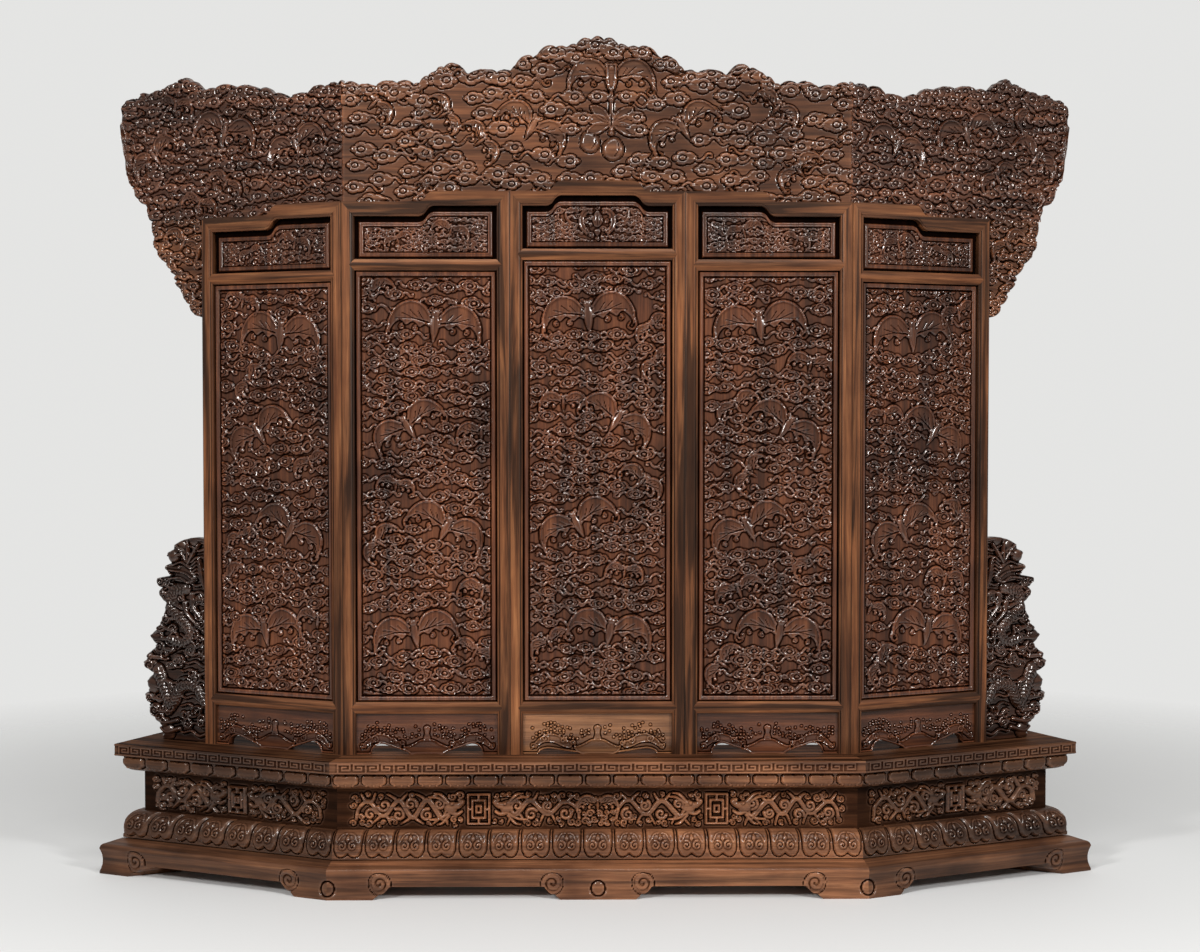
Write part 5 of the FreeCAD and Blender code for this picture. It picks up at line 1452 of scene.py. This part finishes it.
def scroll_dragon(relief, rng, x, z, length, way, rise):
    """A dragon among scrolls, its head at the way end, its body winding back to a curled tail."""
    def at(points, start=0.0):
        return [(x + way * (start + px), z + pz) for px, pz in points]

    neck = length - HEAD_LENGTH
    bends = int(neck / BEND_PITCH)
    side = 1.0
    body = [(0.0, -0.030), (0.008, 0.004)]
    for index in range(1, bends + 1):
        cx, cz = index * neck / bends - rng.uniform(0.004, 0.016), side * rng.uniform(0.016, 0.034)
        body.append((cx, cz))
        (px, pz), = at(((cx + rng.uniform(-0.008, 0.008), -0.62 * cz),))
        radius = rng.uniform(0.015, 0.021)
        turns, start = rng.uniform(1.1, 1.5), rng.uniform(0, math.tau)
        curl(relief, px, pz, radius, turns, start, rng.choice((-1.0, 1.0)), (0.0068, 0.0044), 0.9 * rise)
        for lean in (-0.018, 0.016):
            tip = (cx + lean * rng.uniform(1.2, 2.2), side * rng.uniform(0.046, 0.054))
            flame = ((cx + 0.3 * lean, 0.9 * cz), (cx + 0.9 * lean, 1.3 * cz), tip)
            strand(relief, at(flame), 6, (0.0074, 0.0032), 0.85 * rise)
        side = -side
    body.append((neck + 0.010, 0.0))
    strand(relief, at(body), 10, (0.0056, 0.0104), rise, 0.2)
    skull, eye = at(((0.016, 0.006), (0.022, 0.019)), neck)
    knob(relief, *skull, 0.023, 1.25 * rise)
    strand(relief, at(SNOUT, neck), 6, (0.0135, 0.0060), 1.15 * rise)
    strand(relief, at(JAW, neck), 6, (0.0095, 0.0050), 1.05 * rise)
    knob(relief, *eye, 0.0066, 1.6 * rise)
    for rise_up, back in MANE_TIPS:
        mane = ((neck + 0.010, 0.4 * rise_up), (neck - 0.4 * back, 0.9 * rise_up), (neck - back, rise_up))
        strand(relief, at(mane), 6, (0.0072, 0.0034), 1.05 * rise)


FRET_LINE = (0.0046, 0.0046)


def fret_medallion(relief, x, z, size, rise):
    """A plain upright medallion of nested frames."""
    tall = 1.4 * size
    for grow in (1.0, 0.60, 0.22):
        dx, dz = size * grow, tall * grow
        corners = [(x - dx, z - dz), (x + dx, z - dz), (x + dx, z + dz), (x - dx, z + dz), (x - dx, z - dz)]
        ribbon(relief, corners, FRET_LINE, rise)
    for dx, dz in ((size, 0), (-size, 0), (0, tall), (0, -tall)):
        ribbon(relief, [(x + 0.6 * dx, z + 0.6 * dz), (x + dx, z + dz)], FRET_LINE, rise)


# The frieze's middle, half height and rise, the painted shade on its ground, and radii of its filling curls
FRIEZE_LEVEL, FRIEZE_HALF, FRIEZE_RISE = 0.068, 0.058, 0.0105
FRIEZE_SHADE = 0.20
FILLERS = (0.008, 0.013)
MEDALLION_PLACE = 0.385


def frieze(relief, run):
    """Scroll dragons facing medallions, with a bat in the middle of the long side."""
    if run.side != "front":
        return
    level, rise = FRIEZE_LEVEL, FRIEZE_RISE
    low, high = level - FRIEZE_HALF, level + FRIEZE_HALF
    relief.ground_shade = FRIEZE_SHADE
    rng = np.random.default_rng(71)

    def fill(start, end, top, tries):
        fill_curls(relief, rng, sorted((start, end)), (low, top), 0.8 * rise, FILLERS, tries)

    if run.section == "centre":
        for way in (-1, 1):
            x = way * MEDALLION_PLACE
            fret_medallion(relief, x, level, 0.034, rise)
            scroll_dragon(relief, rng, x + way * 0.395, level, 0.350, -way, rise)
            scroll_dragon(relief, rng, x - way * 0.325, level, 0.280, way, rise)
            fill(x + way * 0.050, x + way * 0.405, high, 900)
            fill(x - way * 0.050, 0.060 * way, high, 900)
        bat(relief, 0.0, level + 0.010, 0.066, 0.0, 1.1 * rise)
        fill(-0.075, 0.075, level, 400)
    else:
        middle = 0.5 * (run.low + run.high)
        fret_medallion(relief, middle, level, 0.030, rise)
        for way in (-1, 1):
            scroll_dragon(relief, rng, middle + way * 0.320, level, 0.280, -way, rise)
            fill(middle + way * 0.045, middle + way * 0.330, high, 900)
    relief.undercut(0.0015, 0.005)


# Scrolls on the feet, and rings between them
SCROLL_RISE, SCROLL_LEVEL, SCROLL_RADIUS, SCROLL_START = 0.005, 0.053, 0.030, 0.6
RING_LEVEL, RING_RADIUS, RING_DEPTH = 0.036, 0.0225, 0.0060


def foot_scrolls(relief, run, floor):
    """Scrolls raised on the front feet, and a ring cut on each middle or corner foot."""
    places, heights = floor
    raised = heights > 0.5 * heights.max()
    edges = np.flatnonzero(np.diff(raised.astype(int)))
    for edge in edges:
        way = 1.0 if raised[edge + 1] else -1.0
        x = places[edge] - way * 0.008
        knob(relief, x, SCROLL_LEVEL, 0.036, 0.0020)
        start = -SCROLL_START if way > 0 else math.pi + SCROLL_START
        spiral = curl_path(x, SCROLL_LEVEL, SCROLL_RADIUS, 1.45, start, way, 0.16, 40)
        ribbon(relief, spiral, (0.0075, 0.0060), SCROLL_RISE)
    relief.undercut(0.0006, 0.005, 0.0045)
    rings = {"left": (run.high,), "centre": (run.low, run.high, 0.0), "right": (run.low,)}
    turn = np.linspace(0, math.tau, 40)
    for x in rings[run.section]:
        ring = np.column_stack([x + RING_RADIUS * np.cos(turn), RING_LEVEL + RING_RADIUS * np.sin(turn)])
        ribbon(relief, ring, (0.0040, 0.0040), -RING_DEPTH)


def foot_line(run):
    """Where the plinth's lower edge lies along a run, read from the CAD piece."""
    tree = local_tree(f"base_{run.section}_plinth", run.section)
    places = np.linspace(run.low + 0.02, run.high - 0.02, 500)
    plan = run.origin + places[:, None] * run.along + 0.095 * run.outward
    rays = [(px, py, -FAR) for px, py in plan]
    heights = fill_gaps(reach_along(tree, rays, (0, 0, 1)) - FAR) + base_top
    return places, np.clip(heights, 0, None)


# Painted light and shade: one base wood made darker on the wing sections and lighter on the centre, for how
# the light falls on them; the plinth is made lighter again, more so on the wings
WING_SHADED_WOOD = toned(BASE_TONES, 0.55)
LIT_AND_SHADED_BASE_WOODS = {"left": WING_SHADED_WOOD, "centre": toned(BASE_TONES, 1.24), "right": WING_SHADED_WOOD}
PLINTH_LIFT = {"left": 1.55, "centre": 1.22, "right": 1.55}
# Cells of the plinth's front, other fronts, plain sides and carved sides
PLINTH_CELL = (0.0042, 0.0032)
FRONT_CELL = (0.0028, 0.0028)
PLAIN_CELL = (0.02, 0.01)
SIDE_CELL = (0.0055, 0.0050)


def base_ring(section, ring):
    """One moulding of a base section, a piece for each of its sides."""
    node = f"base_{section}_{ring}"
    for spec in base_runs(section):
        run = Run(section, ring, spec)
        relief = Relief((run.low, run.high), (0.0, run.height))
        floor = None
        if ring == "plinth":
            floor = foot_line(run)
            if run.side == "front":
                foot_scrolls(relief, run, floor)
            relief.height -= SCROLL_RISE
        elif ring == "lotus":
            lotus_petals(relief, run)
        elif ring == "cornice":
            hanging_petals(relief, run)
        else:
            frieze(relief, run)
        if run.side == "front":
            cell = PLINTH_CELL if ring == "plinth" else FRONT_CELL
        else:
            cell = PLAIN_CELL if ring in ("plinth", "waist") else SIDE_CELL
        grid = grid_for(run.high - run.low, run.height, cell)
        tones = toned(LIT_AND_SHADED_BASE_WOODS[section], PLINTH_LIFT[section] if ring == "plinth" else 1.0)
        kind = "plinth" if ring == "plinth" else "carved_base"
        material = finish(f"{kind}_{run.side}", section, tones, "level", True, FRAME_ROUGH)
        replaced = (node,) if run.side == "front" else ()
        surface = run.surface(relief, floor)
        name = f"carving_{node}_{run.side}"
        carved_piece(name, grid, surface, section, "base", material, replaced)


# The base board's height, and its key fret: tone, pitch, height, foot, lines and the ledges' levels
BOARD_HEIGHT = 0.040
FRET_LIFT = 1.22
FRET_PITCH, FRET_HEIGHT, FRET_FOOT = 0.045, 0.025, 0.0075
FRET_WIDTH, FRET_RISE = 0.0021, 0.0020
LEDGES, LEDGE_WIDTH, LEDGE_RISE = (0.0038, 0.0362), 0.0018, 0.0016
FRET_CELL, FRET_ROWS = 0.0023, 18
BAND_LIFT, BAND_DEPTH, BAND_SHARE = 0.0004, 0.004, 0.98
FRET = ((0.0, 0.0), (0.0, 1.0), (0.86, 1.0), (0.86, 0.24), (0.30, 0.24), (0.30, 0.64), (0.60, 0.64))


def fret_band(section):
    """Key-fret bands on the front and end edges of a base board."""
    for spec in base_runs(section):
        run = Run(section, "waist", spec)
        if run.side == "back":
            continue
        low, high = run.ends(BOARD_OVERHANG)
        relief = Relief((low, high), (0.0, BOARD_HEIGHT))
        count = int((high - low - 0.02) / FRET_PITCH)
        first = 0.5 * (low + high) - 0.5 * count * FRET_PITCH
        for index in range(count):
            flip = -1.0 if index % 2 else 1.0
            corner = first + (index + index % 2) * FRET_PITCH
            path = [(corner + flip * px * FRET_PITCH, FRET_FOOT + pz * FRET_HEIGHT) for px, pz in FRET]
            ribbon(relief, path, (FRET_WIDTH, FRET_WIDTH), FRET_RISE)
        for level in LEDGES:
            ribbon(relief, [(low, level), (high, level)], (LEDGE_WIDTH, LEDGE_WIDTH), LEDGE_RISE)
        cavities = relief.cavity(0.005, 0.0022)

        def surface(u, v, back):
            s, w = low + u * (high - low), v * BOARD_HEIGHT
            if back:
                out = np.full(len(u), BOARD_OVERHANG - BAND_DEPTH)
            else:
                out = BOARD_OVERHANG + BAND_LIFT + relief.at(s, w)
            ends = run.ends(out)
            place = ends[0] + u * (ends[1] - ends[0])
            plan = run.origin + place[:, None] * run.along + out[:, None] * run.outward
            z = -BOARD_HEIGHT + BAND_LIFT + w * BAND_SHARE
            return np.column_stack([plan, z]), relief.at(s, w, cavities)

        grid = (max(4, round((high - low) / FRET_CELL)), FRET_ROWS)
        tones = toned(LIT_AND_SHADED_BASE_WOODS[section], FRET_LIFT)
        material = finish(f"fret_{run.side}", section, tones, "level", True, FRAME_ROUGH)
        carved_piece(f"fret_band_{section}_{run.side}", grid, surface, section, "base", material)


for section in SECTIONS:
    for ring in PROFILES:
        base_ring(section, ring)
    fret_band(section)


# Frames keep their CAD shape

def leaf_edges(number, section):
    """Middle of a leaf, and how far its stiles' inner and outer edges lie from there."""
    low, high = local_box(f"leaf_{number}_main_panel", section)
    left, right = local_box(f"leaf_{number}_stiles", section)
    middle = 0.5 * (low[0] + high[0])
    return middle, high[0] - TONGUE - middle, 0.5 * (right[0] - left[0])


for name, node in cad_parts.items():
    if name.startswith("leaf_"):
        number = int(name.split("_")[1])
        section = LEAF_SECTIONS[number]
        if name.endswith("stiles"):
            edges = leaf_edges(number, section)
            material = finish(f"stile_{number}", section, FRAME_TONES, "upright", False, FRAME_ROUGH, edges)
        else:
            # The top rail is toned darker than the other rails, partly as painted shade and partly for its
            # dark patches
            kind, level = ("top_rail", 0.75) if name.endswith("top_rail") else ("rail", 0.95)
            material = finish(kind, section, toned(FRAME_TONES, level), "level", False, FRAME_ROUGH)
    elif name.startswith("base_"):
        section = name.split("_")[1]
        section = section if section in SECTIONS else "centre"
        material = finish("base", section, LIT_AND_SHADED_BASE_WOODS[section], "level", False, BASE_ROUGH)
    else:
        material = finish("crest", "centre", CREST_TONES, "level")
    node.data.materials.clear()
    node.data.materials.append(material)


# Stage, light and camera

def area_light(name, place, target, size, power):
    lamp = bpy.data.lights.new(name, "AREA")
    lamp.shape = "RECTANGLE"
    lamp.size, lamp.size_y = size
    lamp.energy = power
    light = bpy.data.objects.new(name, lamp)
    light.location = place
    light.rotation_euler = (Vector(target) - Vector(place)).to_track_quat("-Z", "Y").to_euler()
    bpy.context.scene.collection.objects.link(light)


BACKDROP = (0.78, 0.78, 0.77)
FLOOR_COLOUR = (0.80, 0.80, 0.79)
FLOOR_REACH = 9.0
DIM_SIDE = (0.20, 0.20, 0.20)


def pale_floor():
    """A wide floor that fades into the backdrop's tone away from the object."""
    sheet = bmesh.new()
    bmesh.ops.create_grid(sheet, x_segments=2, y_segments=2, size=FLOOR_REACH)
    mesh = bpy.data.meshes.new("floor")
    sheet.to_mesh(mesh)
    sheet.free()
    floor = bpy.data.objects.new("floor", mesh)
    scene.collection.objects.link(floor)
    material = bpy.data.materials.new("pale_floor")
    material.use_nodes = True
    tree = material.node_tree
    shader = tree.nodes["Principled BSDF"]
    shader.inputs["Base Color"].default_value = (*FLOOR_COLOUR, 1.0)
    shader.inputs["Roughness"].default_value = 0.7
    shader.inputs["Specular IOR Level"].default_value = 0.1
    spread = tree.nodes.new("ShaderNodeVectorMath")
    spread.operation = "LENGTH"
    link(tree, tree.nodes.new("ShaderNodeTexCoord").outputs["Object"], spread.inputs[0])
    fade = to_range(tree, spread.outputs["Value"], 1.0, 0.0, (2.2, 0.55 * FLOOR_REACH))
    link(tree, fade, shader.inputs["Alpha"])
    mesh.materials.append(material)


def studio_world():
    """A pale backdrop behind the object, and a dimmer room in front of it."""
    world = bpy.data.worlds.new("studio")
    world.use_nodes = True
    tree = world.node_tree
    parts = tree.nodes.new("ShaderNodeSeparateXYZ")
    link(tree, tree.nodes.new("ShaderNodeTexCoord").outputs["Generated"], parts.inputs["Vector"])
    level = to_range(tree, parts.outputs["Y"], 0.0, 1.0, (-1.0, 1.0))
    tone = ramp(tree, level, ((0.35, DIM_SIDE), (0.92, BACKDROP)))
    link(tree, tone, tree.nodes["Background"].inputs["Color"])
    return world


scene = bpy.context.scene
scene.view_settings.view_transform = "Standard"
pale_floor()
scene.world = studio_world()
area_light("key_left", (-3.7, -5.0, 3.7), (0, 0, 1.3), (0.6, 1.1), 205)
area_light("key_right", (3.9, -4.8, 3.4), (0, 0, 1.3), (0.6, 1.1), 195)
area_light("top_front", (0.0, -3.2, 5.2), (0, 0, 1.2), (3.0, 1.0), 100)

CAMERA_PLACE = (-0.074, -6.600, 1.571)
CAMERA_PITCH = math.radians(2.003)
CAMERA_YAW = math.radians(-0.735)
CAMERA_LENS = 59.1

camera_data = bpy.data.cameras.new("camera")
camera_data.sensor_width = 36.0
camera_data.lens = CAMERA_LENS
camera = bpy.data.objects.new("camera", camera_data)
camera.location = CAMERA_PLACE
camera.rotation_euler = (math.pi / 2 - CAMERA_PITCH, 0.0, CAMERA_YAW)
scene.collection.objects.link(camera)
scene.camera = camera
